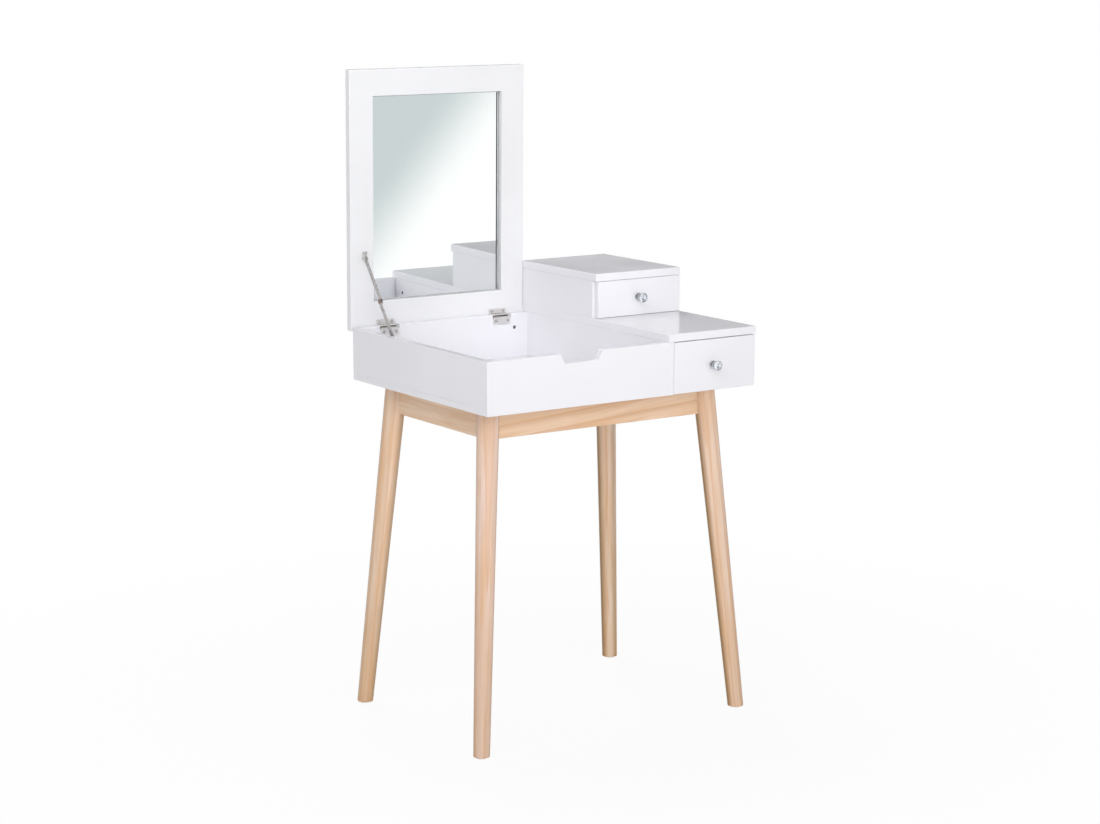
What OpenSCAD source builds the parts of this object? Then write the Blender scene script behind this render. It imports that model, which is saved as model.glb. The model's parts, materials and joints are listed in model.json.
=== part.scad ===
// Flip-top vanity table: a white box on a splayed pine frame, with a mirror under its lid,
// a drawer below and a small drawer box on top. The lid is drawn open, held by its stay.
// Lengths are in millimetres. The origin is on the floor, in the middle of the outline.

/* [Lower box] */
// Width of the box
table_w = 600; // [560:5:680]
// Depth of the lid and tops
table_d = 500; // [470:5:560]
// Floor to the underside of the box
frame_h = 639; // [600:1:700]
// Height of the box walls
box_h = 99; // [92:1:130]
// Thickness of lid, tops, sides, back and partition
board_t = 15; // [14:0.5:18]
// Thickness of the front panel and drawer fronts
front_t = 12; // [10:0.5:15]
// Thickness of the bottom board
bottom_t = 12; // [9:0.5:15]
// Width of the drawer side, partition included
drawer_bay_w = 200; // [190:5:230]
// How far lid and tops reach past the back panel
rear_overhang = 4.5; // [4:0.5:5]
// How far the lower top reaches past the right side
side_overhang = 2; // [0:0.5:6]
// How far the back panel stops short of each side
back_inset = 9; // [0:0.5:12]
// Easing radius on the edges of panels
edge_r = 0.6; // [0.5:0.1:1.5]
// Easing radius on the edges of drawer fronts
front_edge_r = 1.5; // [0.6:0.1:2]
// Easing radius on the edges of lid and tops
top_edge_r = 1.2; // [0.8:0.1:2.4]

/* [Finger notch] */
// Width of the notch at its mouth
notch_w = 92; // [80:1:110]
// Depth of the notch
notch_depth = 18; // [14:0.5:24]
// How much each end leans inwards
notch_lean = 9; // [4:0.5:14]
// Radius in the corners of the notch
notch_r = 3; // [2:0.5:5]

/* [Upper box] */
// Height of the upper box, its top included
upper_h = 87; // [82:1:120]
// Depth of the upper box
upper_d = 260; // [240:5:320]
// Strip of the upper box side that shows beside its drawer front
upper_reveal = 5; // [2:0.5:8]

/* [Lid and mirror] */
// Gap between the closed lid and the drawer side
lid_gap = 0.8; // [0.8:0.1:3]
// How far the lid stops short of the left side
lid_inset = 5.5; // [0:0.5:7]
// Opening angle of the lid
lid_open = 89.3; // [80:0.1:90]
// Width of the white border beside and above the mirror
mirror_border = 51; // [44:1:60]
// Width of the white border below the mirror
mirror_border_low = 55; // [44:1:60]
// Depth of the mirror's recess
recess_d = 12.5; // [10:0.5:13]
// Thickness of the mirror glass
mirror_t = 3; // [3:0.5:5]
// Thickness of the mounting tape behind the mirror
tape_t = 0.8; // [0.5:0.1:1.5]
// Width of a strip of mounting tape
tape_w = 25; // [15:1:40]
// Clearance round the mirror
mirror_gap = 0.5; // [0.3:0.1:1]

/* [Hinges] */
// Width of a hinge
hinge_w = 40; // [36:1:50]
// Centre of the left hinge, from the left side
hinge_left_x = 82; // [70:1:100]
// Centre of the right hinge, from the lid's right edge
hinge_right_in = 59.5; // [45:0.5:80]
// Thickness of a hinge leaf
leaf_t = 1.2; // [1:0.1:1.4]
// Radius of the hinge knuckle
knuckle_r = 2.7; // [2.4:0.1:2.8]
// Radius of the hinge pin
hinge_pin_r = 1.2; // [1:0.1:1.4]
// Hinge axis below the top edge of the walls
hinge_drop = 3; // [3:0.1:3.2]
// Hinge axis in from the lid's rear edge
hinge_in = 5.5; // [5.5:0.1:5.9]
// Reach of the lid leaf from the hinge axis
lid_leaf_l = 12.5; // [11.5:0.5:14]
// Height of the case leaf on the back panel's inner face
case_leaf_h = 15; // [13:0.5:20]

/* [Lid stay] */
// Plane of the stay, from the left side panel's inner face
stay_off = 12; // [9:0.5:15]
// Lower pivot in front of the hinge axis
stay_case_fwd = 118; // [112:1:124]
// Lower pivot below the top edge of the walls
stay_case_drop = 6.5; // [6.5:0.5:10]
// Upper pivot along the lid from the hinge axis
stay_lid_up = 134; // [128:1:142]
// Upper pivot in front of the mirror side of the lid
stay_lid_out = 14; // [12:0.5:18]
// Lower arm, pivot to middle rivet
stay_lower_l = 79; // [77:1:82]
// Thickness of a stay arm
arm_t = 1.5; // [1.2:0.1:2]
// Width of a stay arm
arm_w = 8.5; // [7:0.5:9.5]
// Radius of the round ends of an arm
arm_end_r = 5; // [4.8:0.1:5.2]
// Radius of the stay's pivot pins
stay_pin_r = 2; // [1.6:0.1:2.4]

/* [Drawers] */
// Gap round the lower drawer's front
drawer_gap = 1.3; // [0.8:0.1:3]
// Gap above and below the upper drawer's front
upper_gap = 0.6; // [0.5:0.1:2]
// Thickness of drawer sides and backs
drawer_side_t = 10; // [9:0.5:12]
// Thickness of drawer bottoms
drawer_bottom_t = 3; // [2.5:0.5:5]
// Length of the lower drawer's box behind its front
lower_drawer_l = 400; // [350:5:440]
// Length of the upper drawer's box behind its front
upper_drawer_l = 205; // [190:5:215]
// Free height left above and below the drawer boxes
drawer_clear = 9; // [8:0.5:12]
// Space between a drawer box and the wall beside it
rail_space = 12.5; // [12:0.5:14]
// Height of the drawer rails
rail_h = 30; // [26:1:32]
// Thickness of the rails' steel
rail_t = 1.2; // [1:0.1:1.6]

/* [Knobs] */
// Diameter of the faceted knob
knob_d = 22; // [19:0.5:26]
// Length of the faceted head
knob_head_l = 14; // [12:0.5:18]
// Length of the chrome base
knob_base_l = 11; // [9:0.5:14]
// Number of large facets round the knob
knob_facets = 8; // [6:1:10]

/* [Frame and legs] */
// Diameter of a leg at the top
leg_top_d = 42; // [38:0.5:46]
// Diameter of a leg at the foot
leg_foot_d = 31; // [27:0.5:35]
// Leg centre at the top, in from the sides of the box
leg_top_in_x = 57; // [50:1:70]
// Leg centre at the foot, in from the sides of the box
leg_foot_in_x = 7; // [0:1:40]
// Leg centre at the top, in from front and rear
leg_top_in_y = 87; // [75:1:100]
// Leg centre at the foot, in from front and rear
leg_foot_in_y = 36; // [20:1:60]
// Height of the aprons
apron_h = 60; // [50:1:75]
// Thickness of the aprons
apron_t = 15; // [12:0.5:18]
// How far an apron's outer face lies outside the leg axis
apron_proud = 4; // [2:0.5:7]
// How deep an apron's end is housed in the leg
housing_d = 8; // [6:0.5:10]
// Radius of a foot glide
glide_r = 11; // [8:0.5:13]
// Thickness of a foot glide
glide_t = 2; // [1.5:0.5:4]
// Length of a corner block along each apron
block_l = 62; // [56:1:70]
// Height of a corner block
block_h = 36; // [30:1:44]

/* [Hidden] */
$fn = 48;

// Colours
white_lacquer = "#EEEEF3";
inner_white = "#E6E6EA";
pine = "#DEBE9E";
nickel = "#A9A7A2";
chrome = "#C9CCD2";
crystal = "#D9E2EE";
mirror_silver = "#BFD0D0";
steel = "#8F9294";
nylon = "#E8E4DA";
tape_grey = "#55585C";

// Levels and planes of the boxes, with the front at y = 0 and the left side at x = 0
eps = 0.01;
cut = 1;
wall_top = frame_h + box_h;
floor_top = frame_h + bottom_t;
deck = wall_top + board_t;
upper_under = deck + upper_h - board_t;
back_y = table_d - rear_overhang;
back_in = back_y - board_t;
bay_x = table_w - drawer_bay_w;
bay_in_l = bay_x + board_t;
bay_in_r = table_w - board_t;
front_cover = 0.7;
split_x = bay_x + front_cover * board_t;
upper_y = table_d - upper_d;
mid_x = table_w / 2;
mid_y = table_d / 2;

// Lid and hinge axis
lid_l = lid_inset;
lid_r = bay_x - lid_gap;
lid_mid = (lid_l + lid_r) / 2;
tape_in = 1.5 * mirror_border;
axis_y = table_d - hinge_in;
axis_z = wall_top - hinge_drop;
hinge_x = [hinge_left_x, lid_r - hinge_right_in];
knuckle_gap = 0.35;
knuckle_w = (hinge_w - 2 * knuckle_gap) / 3;
pin_clear = 0.05;
pin_cap_r = 2.2;
pin_cap_t = 1;
notch_side = 1;
hinge_notch_w = hinge_w + 2 * (pin_cap_t + notch_side);
// The back panel's top edge is rounded so that the lid's underside turns past it
lid_swing_clear = 0.2;
back_edge_r = hinge_in - rear_overhang + lid_swing_clear;
hinge_notch_z = axis_z - hinge_drop;
leaf_corner_r = 2;
leaf_clear = 0.6;

// Connector screws, in from the corners of the compartment and below its top edge
connector_r = 3.5;
connector_d = 3;
connector_in = 31;
connector_up = 28;

// Wood screws of the hinges and the stay
screw_head_r = 3;
screw_head_h = 0.8;
screw_r = 1.4;
screw_l = 10;
screw_clear = 0.1;
hinge_screw_dx = 13.5;
lid_screw_y = -(lid_leaf_l + knuckle_r + leaf_clear) / 2;
slot_w = 0.8;
slot_d = 0.4;

// Stay: the three pivots of the open lid, as [y, z], and the planes of its parts
stay_gap = 0.5;
bracket_t = 1.2;
rivet_head_t = 1;
// Room between the arms, so that the upper arm passes over the head of the lower pivot
arm_gap = rivet_head_t + 1.6 * stay_gap;
stay_x = board_t + stay_off;
upper_arm_x = stay_x + arm_t + arm_gap;
ear_x = upper_arm_x + arm_t + stay_gap;
ear_t = 1.5;
stay_low = [axis_y - stay_case_fwd, wall_top - stay_case_drop];
// Upper pivot on the closed lid, turned with the lid to the open pose
stay_up_closed = [axis_y - stay_lid_up, wall_top - stay_lid_out];
function turned(p, a) = [
  axis_y + (p.x - axis_y) * cos(a) - (p.y - axis_z) * sin(a),
  axis_z + (p.x - axis_y) * sin(a) + (p.y - axis_z) * cos(a)
];
stay_up = turned(stay_up_closed, -lid_open);
stay_angle = atan2(stay_up.y - stay_low.y, stay_up.x - stay_low.x);
stay_mid = stay_low + stay_lower_l * [cos(stay_angle), sin(stay_angle)];
rivet_head_r = 3.4;
boss_r = 3.8;
boss_clear = 0.4;
boss_l = stay_off - bracket_t - boss_clear;
// Plate on the case, its lower end and screws below the lower pivot
stay_plate_w = 14;
stay_plate_h = 30;
stay_plate_low = 26;
stay_screw_dz = [10, 22];
// Plate on the lid: its size, how far it starts below the upper pivot, and its screw above the pivot
lid_plate_w = 9;
lid_plate_l = 16;
lid_plate_on = 3;
stay_lid_screw_in = 5.2;
stay_lid_screw_on = 9;

// Drawers
lower_front_z = [frame_h + drawer_gap / 2, wall_top - drawer_gap];
upper_front_z = [deck + upper_gap, upper_under - upper_gap];
lower_front_x = [split_x + drawer_gap / 2, table_w];
front_end_x = split_x - drawer_gap / 2;
upper_front_x = [bay_x + upper_reveal, table_w];
lower_box_z = [floor_top + drawer_clear, wall_top - drawer_clear];
upper_box_z = [deck + drawer_clear, upper_under - drawer_clear];
drawer_x = [bay_in_l + rail_space, bay_in_r - rail_space];
drawer_mid_x = (drawer_x[0] + drawer_x[1]) / 2;
lower_y = 0;
lower_box_y = front_t;
upper_box_y = upper_y + front_t;
groove_d = 4;
groove_up = 6;
groove_end = 6;
groove_clear = 0.2;
rail_flange = 9;
rail_clear = 0.4;
rail_inset = 6;
rail_setback = 10;

// Knob
knob_screw_r = 2;
knob_screw_clear = 0.1;
knob_hole_r = 2.4;
knob_bore_l = 7;
knob_flange_r = 0.36 * knob_d;
knob_flange_t = 0.2 * knob_base_l;
knob_waist = [0.28, 0.5] * knob_base_l;
knob_neck_r = 0.19 * knob_d;
knob_cup_r = 0.34 * knob_d;
knob_seat_r = 0.28 * knob_d;
knob_seat_d = 3;
knob_seat_clear = 0.1;
knob_lip = 0.5;
knob_reach = knob_base_l + knob_lip + knob_head_l;
knob_screw_head_r = 4;
knob_screw_head_h = 2;
// Rings of the crystal: shares of its length and radius, then multiples of the facets and the turn
crystal_rings = [
  [0, 2 * knob_seat_r / knob_d, 1, 0],
  [0.28, 0.92, 2, 0],
  [0.5, 1, 2, 1],
  [0.74, 0.84, 2, 0],
  [1, 0.52, 1, 1]
];

// Under-frame
apron_z = frame_h - apron_h;
apron_mid = apron_h / 2;
rake_x = (leg_top_in_x - leg_foot_in_x) / frame_h;
rake_y = (leg_top_in_y - leg_foot_in_y) / frame_h;
apron_x = leg_top_in_x - rake_x * apron_mid - apron_proud;
apron_y = leg_top_in_y - rake_y * apron_mid - apron_proud;
foot_round = 3;
bolt_r = 3;
bolt_clear = 0.15;
nut_r = 6;
nut_t = 5;
washer_r = 9;
washer_t = 1.5;
frame_screw_r = 2.2;
frame_screw_head_r = 4.2;
frame_screw_head_t = 2.5;
frame_screw_bite = 8;
pine_edge_r = 1.5;
// The four corners, as the signs of x and y
corners = [[-1, -1], [1, -1], [-1, 1], [1, 1]];
// Each apron ends this far inside the leg's own radius
apron_end_x = leg_top_in_x + leg_top_d / 2 - housing_d;
apron_end_y = leg_top_in_y + leg_top_d / 2 - housing_d;
// Corner blocks: five-sided, with a slanting face for the leg's bolt
block_drop = 2;
block_z = frame_h - block_h - block_drop;
block_gap = 0.5;
block_toe = 0.14 * block_l;
block_face = (block_l + block_toe) / sqrt(2);
block_screw = [0.72, 0.18] * block_l;
bolt_z = block_z + 0.4 * block_h;
bolt_in = 14;
bolt_end = 6;

// The middle of the outline: knobs in front, open lid behind
rear_reach = axis_y + (hinge_drop + board_t - top_edge_r) * sin(lid_open)
  + (hinge_in - top_edge_r) * cos(lid_open) + top_edge_r;
origin_y = (rear_reach - knob_reach) / 2;

// Helpers

// Puts what is drawn from the front left corner into the table's own frame
module place() {
  translate([-mid_x, -origin_y, 0]) children();
}

// Turns what is drawn on the closed lid to the open pose
module on_lid() {
  translate([0, axis_y, axis_z]) rotate([-lid_open, 0, 0]) translate([0, -axis_y, -axis_z]) children();
}

// A rectangle with round corners
module eased_rect(size, r) {
  translate([r, 0]) square([size.x - 2 * r, size.y]);
  translate([0, r]) square([size.x, size.y - 2 * r]);
  for (x = [r, size.x - r], y = [r, size.y - r]) translate([x, y]) circle(r);
}

// A board between two corners, with all its edges eased
module board(from, to, r = edge_r) {
  size = to - from;
  translate(from) intersection() {
    linear_extrude(size.z) eased_rect([size.x, size.y], r);
    translate([0, size.y, 0]) rotate([90, 0, 0]) linear_extrude(size.y) eased_rect([size.x, size.z], r);
    rotate([90, 0, 90]) linear_extrude(size.x) eased_rect([size.y, size.z], r);
  }
}

// A plain block between two corners
module block(from, to) {
  translate(from) cube(to - from);
}

// Turns a cylinder that stands on z to lie along x, y or minus y
module along_x() { rotate([0, 90, 0]) children(); }
module along_y() { rotate([-90, 0, 0]) children(); }
module against_y() { rotate([90, 0, 0]) children(); }

// A wood screw: its head sits on z = 0 and its shank points down
module wood_screw(shank) {
  difference() {
    cylinder(h = screw_head_h, r1 = screw_head_r, r2 = screw_head_r - screw_head_h / 2);
    for (a = [0, 90]) rotate([0, 0, a])
      translate([-screw_head_r / 2, -slot_w / 2, screw_head_h - slot_d]) cube([screw_head_r, slot_w, cut]);
  }
  translate([0, 0, -shank]) cylinder(h = shank + eps, r = screw_r);
}

// The hole that takes it
module screw_hole(shank) {
  translate([0, 0, -shank - screw_clear]) cylinder(h = shank + cut, r = screw_r + screw_clear);
}

// Lower box

module bottom_board() {
  color(white_lacquer) place() difference() {
    board([0, front_t, frame_h], [table_w, back_in, floor_top]);
    corner_places() translate([0, 0, frame_h - cut])
      cylinder(h = frame_screw_bite + cut + screw_clear, r = frame_screw_r + screw_clear);
  }
}

module left_side_panel() {
  color(white_lacquer) place() difference() {
    board([0, front_t, floor_top], [board_t, back_in, wall_top]);
    stay_case_screw_places() screw_hole(screw_l);
  }
}

module right_side_panel() {
  color(white_lacquer) place() board([bay_in_r, front_t, floor_top], [table_w, back_in, wall_top]);
}

module partition_panel() {
  color(white_lacquer) place() difference() {
    board([bay_x, front_t, floor_top], [bay_in_l, back_in, wall_top]);
    partition_connector() connector_hole();
  }
}

// Arc of a round corner, from angle a0 to a1 about a centre
function arc(c, r, a0, a1, n = 6) = [
  for (i = [0:n]) let (a = a0 + (a1 - a0) * i / n) c + r * [cos(a), sin(a)]
];

// The finger notch, as an outline in x and z with its mouth on z = 0
module notch_outline() {
  half = notch_w / 2;
  low = half - notch_lean;
  // Slope of the leaning ends, and how far a round corner reaches along each of its two lines
  slope = atan2(notch_depth, notch_lean);
  tuck = notch_r * tan(slope / 2);
  left_low = arc([-low + tuck, notch_r - notch_depth], notch_r, 270 - slope, 270);
  left_top = arc([-half - tuck, -notch_r], notch_r, 90, 90 - slope);
  right_low = [for (i = [len(left_low) - 1:-1:0]) [-left_low[i].x, left_low[i].y]];
  right_top = [for (i = [len(left_top) - 1:-1:0]) [-left_top[i].x, left_top[i].y]];
  polygon(concat([[-half - tuck, cut]], left_top, left_low, right_low, right_top, [[half + tuck, cut]]));
}

module front_panel() {
  color(white_lacquer) place() difference() {
    board([0, 0, frame_h], [front_end_x, front_t, wall_top]);
    translate([lid_mid, front_t + cut, wall_top]) against_y()
      linear_extrude(front_t + 2 * cut) notch_outline();
  }
}

module back_panel() {
  color(white_lacquer) place() difference() {
    board([back_inset, back_in, frame_h], [table_w - back_inset, back_y, wall_top], back_edge_r);
    for (x = hinge_x)
      block([x - hinge_notch_w / 2, back_in - cut, hinge_notch_z],
        [x + hinge_notch_w / 2, back_y + cut, wall_top + cut]);
    case_hinge_screw_places() screw_hole(screw_l);
    back_connectors() connector_hole();
  }
}

module lower_top_board() {
  color(white_lacquer) place()
    board([bay_x, 0, wall_top], [table_w + side_overhang, table_d, deck], top_edge_r);
}

// Connector screws, whose dark heads show on the inner faces of the compartment
module connector_hole() {
  translate([0, 0, -connector_d]) cylinder(h = connector_d + cut, r = connector_r + screw_clear);
}
module partition_connector() {
  translate([bay_x, front_t + connector_in, wall_top - connector_up]) rotate([0, -90, 0]) children();
}
module back_connectors() {
  for (x = [board_t + connector_in, bay_x - connector_in])
    translate([x, back_in, wall_top - connector_up]) against_y() children();
}
module connector_head() {
  translate([0, 0, -connector_d]) difference() {
    cylinder(h = connector_d - slot_d, r = connector_r);
    translate([0, 0, connector_d - slot_d - cut]) cylinder(h = 2 * cut, r = connector_r / 2, $fn = 6);
  }
}
module connector_screws() {
  color(steel) place() {
    partition_connector() connector_head();
    back_connectors() connector_head();
  }
}

// Upper box

module upper_left_side() {
  color(white_lacquer) place() board([bay_x, upper_y + front_t, deck], [bay_in_l, table_d, upper_under]);
}
module upper_right_side() {
  color(white_lacquer) place() board([bay_in_r, upper_y + front_t, deck], [table_w, table_d, upper_under]);
}
module upper_back() {
  color(white_lacquer) place() board([bay_in_l, table_d - board_t, deck], [bay_in_r, table_d, upper_under]);
}
module upper_top_board() {
  color(white_lacquer) place()
    board([bay_x, upper_y, upper_under], [table_w, table_d, deck + upper_h], top_edge_r);
}

// Under-frame

// A leg's cone about its own raked axis, on the side given by sx and sy, wider by grow
module leg_cone(sx, sy, grow = 0) {
  foot = [mid_x + sx * (mid_x - leg_foot_in_x), mid_y + sy * (mid_y - leg_foot_in_y), 0];
  top = [mid_x + sx * (mid_x - leg_top_in_x), mid_y + sy * (mid_y - leg_top_in_y), frame_h];
  run = top - foot;
  long = norm(run);
  over = leg_top_d / 4;
  slope = (leg_top_d - leg_foot_d) / 2 / long;
  // The half turn keeps the start of the revolve away from the bolt's hole
  translate(foot) rotate([0, acos(run.z / long), atan2(run.y, run.x)]) rotate([0, 0, 180])
    translate([0, 0, -over]) rotate_extrude() polygon([
      [0, 0],
      [leg_foot_d / 2 - slope * over + grow - foot_round, 0],
      [leg_foot_d / 2 - slope * over + grow, foot_round + over],
      [leg_top_d / 2 + slope * over + grow, long + 2 * over],
      [0, long + 2 * over]
    ]);
}

// The aprons' boards, which also cut their housings in the legs
module front_board() {
  board([apron_end_x, apron_y, apron_z], [table_w - apron_end_x, apron_y + apron_t, frame_h], pine_edge_r);
}
module rear_board() {
  board([apron_end_x, table_d - apron_y - apron_t, apron_z],
    [table_w - apron_end_x, table_d - apron_y, frame_h], pine_edge_r);
}
module left_board() {
  board([apron_x, apron_end_y, apron_z], [apron_x + apron_t, table_d - apron_end_y, frame_h], pine_edge_r);
}
module right_board() {
  board([table_w - apron_x - apron_t, apron_end_y, apron_z],
    [table_w - apron_x, table_d - apron_end_y, frame_h], pine_edge_r);
}

module front_apron() { color(pine) place() front_board(); }
module rear_apron() { color(pine) place() rear_board(); }
module left_apron() { color(pine) place() left_board(); }
module right_apron() { color(pine) place() right_board(); }

module leg(sx, sy) {
  span = max(table_w, table_d);
  color(pine) place() difference() {
    leg_cone(sx, sy);
    translate([mid_x - span, mid_y - span, glide_t - leg_top_d]) cube([2 * span, 2 * span, leg_top_d]);
    translate([mid_x - span, mid_y - span, frame_h]) cube([2 * span, 2 * span, leg_top_d]);
    if (sy < 0) front_board(); else rear_board();
    if (sx < 0) left_board(); else right_board();
    corner(sx, sy) leg_bolt_hole();
  }
}
module front_left_leg() { leg(-1, -1); }
module front_right_leg() { leg(1, -1); }
module rear_left_leg() { leg(-1, 1); }
module rear_right_leg() { leg(1, 1); }

// Draws a child at one inner corner of the aprons, with x and y pointing into the frame
module corner(sx, sy) {
  x = sx < 0 ? apron_x + apron_t : table_w - apron_x - apron_t;
  y = sy < 0 ? apron_y + apron_t : table_d - apron_y - apron_t;
  translate([x, y, 0]) scale_sign(-sx, -sy) children();
}
module scale_sign(fx, fy) {
  mirror([fx < 0 ? 1 : 0, 0, 0]) mirror([0, fy < 0 ? 1 : 0, 0]) children();
}

// The block's five-sided outline between two aprons
module block_outline() {
  polygon([[0, 0], [block_l, 0], [block_l, block_toe], [block_toe, block_l], [0, block_l]]);
}
module corner_blocks() {
  color(pine) place() for (c = corners) difference() {
    corner(c.x, c.y) difference() {
      translate([0, 0, block_z]) linear_extrude(block_h) block_outline();
      bolt_line() cylinder(h = 2 * block_face, r = bolt_r + bolt_clear);
      corner_screw_place() translate([0, 0, block_z - cut])
        cylinder(h = block_h + 2 * cut, r = frame_screw_r + screw_clear);
    }
    leg_cone(c.x, c.y, block_gap);
  }
}
// The hanger bolt's line: from the leg out along the diagonal through the block
module bolt_line() {
  rotate([0, 0, 45]) translate([-bolt_in, 0, bolt_z]) along_x() children();
}
module leg_bolt_hole() { bolt_line() cylinder(h = 2 * block_face, r = bolt_r + bolt_clear / 3); }
module leg_bolts() {
  color(steel) place() for (c = corners) corner(c.x, c.y) {
    bolt_line() cylinder(h = bolt_in + block_face + washer_t + nut_t + bolt_end, r = bolt_r);
    rotate([0, 0, 45]) translate([block_face, 0, bolt_z]) along_x() {
      difference() {
        cylinder(h = washer_t, r = washer_r);
        translate([0, 0, -cut]) cylinder(h = washer_t + 2 * cut, r = bolt_r - eps);
      }
      translate([0, 0, washer_t]) difference() {
        cylinder(h = nut_t, r = nut_r, $fn = 6);
        translate([0, 0, -cut]) cylinder(h = nut_t + 2 * cut, r = bolt_r - eps);
      }
    }
  }
}

// A screw up through each corner block into the bottom board
module corner_screw_place() {
  translate(block_screw) children();
}
module corner_places() {
  for (c = corners) corner(c.x, c.y) corner_screw_place() children();
}
module frame_screws() {
  color(steel) place() corner_places() {
    translate([0, 0, block_z - frame_screw_head_t]) cylinder(h = frame_screw_head_t, r = frame_screw_head_r);
    translate([0, 0, block_z - eps])
      cylinder(h = frame_h - block_z + frame_screw_bite + eps, r = frame_screw_r);
  }
}

module foot_glides() {
  color(nylon) place() for (c = corners)
    translate([mid_x + c.x * (mid_x - leg_foot_in_x), mid_y + c.y * (mid_y - leg_foot_in_y), 0])
      cylinder(h = glide_t, r = glide_r);
}

// Hinges, drawn about their axis with the lid closed: x along the pin, the lid above

module knuckle(x0, x1) {
  translate([x0, 0, 0]) along_x() difference() {
    cylinder(h = x1 - x0, r = knuckle_r);
    translate([0, 0, -cut]) cylinder(h = x1 - x0 + 2 * cut, r = hinge_pin_r + pin_clear);
  }
}
module pin_bore() {
  translate([-hinge_w, 0, 0]) along_x() cylinder(h = 2 * hinge_w, r = hinge_pin_r + pin_clear);
}

module hinge_case_leaf(x) {
  edge = hinge_w / 2;
  inner = knuckle_w / 2 + knuckle_gap;
  face = axis_y - back_in;
  color(nickel) place() translate([x, axis_y, axis_z]) difference() {
    union() {
      for (s = [-1, 1]) {
        x0 = s < 0 ? -edge : inner;
        knuckle(x0, x0 + knuckle_w);
        block([x0, -knuckle_r - leaf_clear, -hinge_drop], [x0 + knuckle_w, 0, leaf_t - hinge_drop]);
      }
      block([leaf_corner_r - edge, -face - leaf_t / 2, -hinge_drop],
        [edge - leaf_corner_r, -knuckle_r - leaf_clear, leaf_t - hinge_drop]);
      translate([-edge, -face, leaf_t - hinge_drop - case_leaf_h]) against_y()
        linear_extrude(leaf_t) eased_rect([hinge_w, case_leaf_h], leaf_corner_r);
    }
    pin_bore();
    for (s = [-1, 1]) translate([s * hinge_screw_dx, -face - leaf_t, leaf_t - hinge_drop - case_leaf_h / 2])
      against_y() screw_hole(screw_l);
  }
}
module left_hinge_case_leaf() { hinge_case_leaf(hinge_x[0]); }
module right_hinge_case_leaf() { hinge_case_leaf(hinge_x[1]); }

module hinge_lid_leaf(x) {
  edge = hinge_w / 2;
  inner = knuckle_w / 2;
  color(nickel) place() on_lid() translate([x, axis_y, axis_z]) difference() {
    union() {
      knuckle(-inner, inner);
      block([-inner, -knuckle_r - leaf_clear, hinge_drop - leaf_t], [inner, 0, hinge_drop]);
      translate([-edge, -lid_leaf_l, hinge_drop - leaf_t]) linear_extrude(leaf_t)
        eased_rect([hinge_w, lid_leaf_l - knuckle_r - leaf_clear], leaf_corner_r);
    }
    pin_bore();
    for (s = [-1, 1]) translate([s * hinge_screw_dx, lid_screw_y, hinge_drop - leaf_t])
      rotate([180, 0, 0]) screw_hole(screw_l);
  }
}
module left_hinge_lid_leaf() { hinge_lid_leaf(hinge_x[0]); }
module right_hinge_lid_leaf() { hinge_lid_leaf(hinge_x[1]); }

module hinge_pins() {
  color(steel) place() for (x = hinge_x) translate([x - hinge_w / 2 - pin_cap_t, axis_y, axis_z]) along_x() {
    cylinder(h = hinge_w + 2 * pin_cap_t, r = hinge_pin_r);
    for (z = [0, hinge_w + pin_cap_t]) translate([0, 0, z]) difference() {
      cylinder(h = pin_cap_t, r = pin_cap_r);
      translate([0, 0, -cut]) cylinder(h = pin_cap_t + 2 * cut, r = hinge_pin_r - eps);
    }
  }
}

// Where the hinge and stay screws go, each with its head side up
module case_hinge_screw_places() {
  for (x = hinge_x, s = [-1, 1])
    translate([x + s * hinge_screw_dx, back_in - leaf_t, hinge_notch_z + leaf_t - case_leaf_h / 2])
      against_y() children();
}
module lid_hinge_screw_places() {
  for (x = hinge_x, s = [-1, 1])
    translate([x + s * hinge_screw_dx, axis_y + lid_screw_y, wall_top - leaf_t])
      rotate([180, 0, 0]) children();
}
module case_screws() {
  color(steel) place() {
    case_hinge_screw_places() wood_screw(screw_l);
    stay_case_screw_places() wood_screw(screw_l);
  }
}
module lid_screws() {
  color(steel) place() on_lid() {
    lid_hinge_screw_places() wood_screw(screw_l);
    stay_lid_screw_place() wood_screw(screw_l);
  }
}

// Lid stay

module stay_case_screw_places() {
  for (dz = stay_screw_dz)
    translate([board_t + bracket_t, stay_low.x, stay_low.y - dz]) along_x() children();
}
// The pivot stud: a boss that carries the arm, a pin through it and a head that keeps it on
module stay_case_bracket() {
  color(nickel) place() difference() {
    translate([board_t, stay_low.x, stay_low.y]) union() {
      translate([0, -stay_plate_w / 2, -stay_plate_low]) rotate([90, 0, 90])
        linear_extrude(bracket_t) eased_rect([stay_plate_w, stay_plate_h], edge_r);
      along_x() {
        cylinder(h = bracket_t + boss_l, r = boss_r);
        cylinder(h = stay_off + arm_t + stay_gap, r = stay_pin_r);
      }
      translate([stay_off + arm_t + stay_gap / 2, 0, 0]) along_x()
        cylinder(h = rivet_head_t, r = rivet_head_r);
    }
    stay_case_screw_places() screw_hole(screw_l);
  }
}

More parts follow.
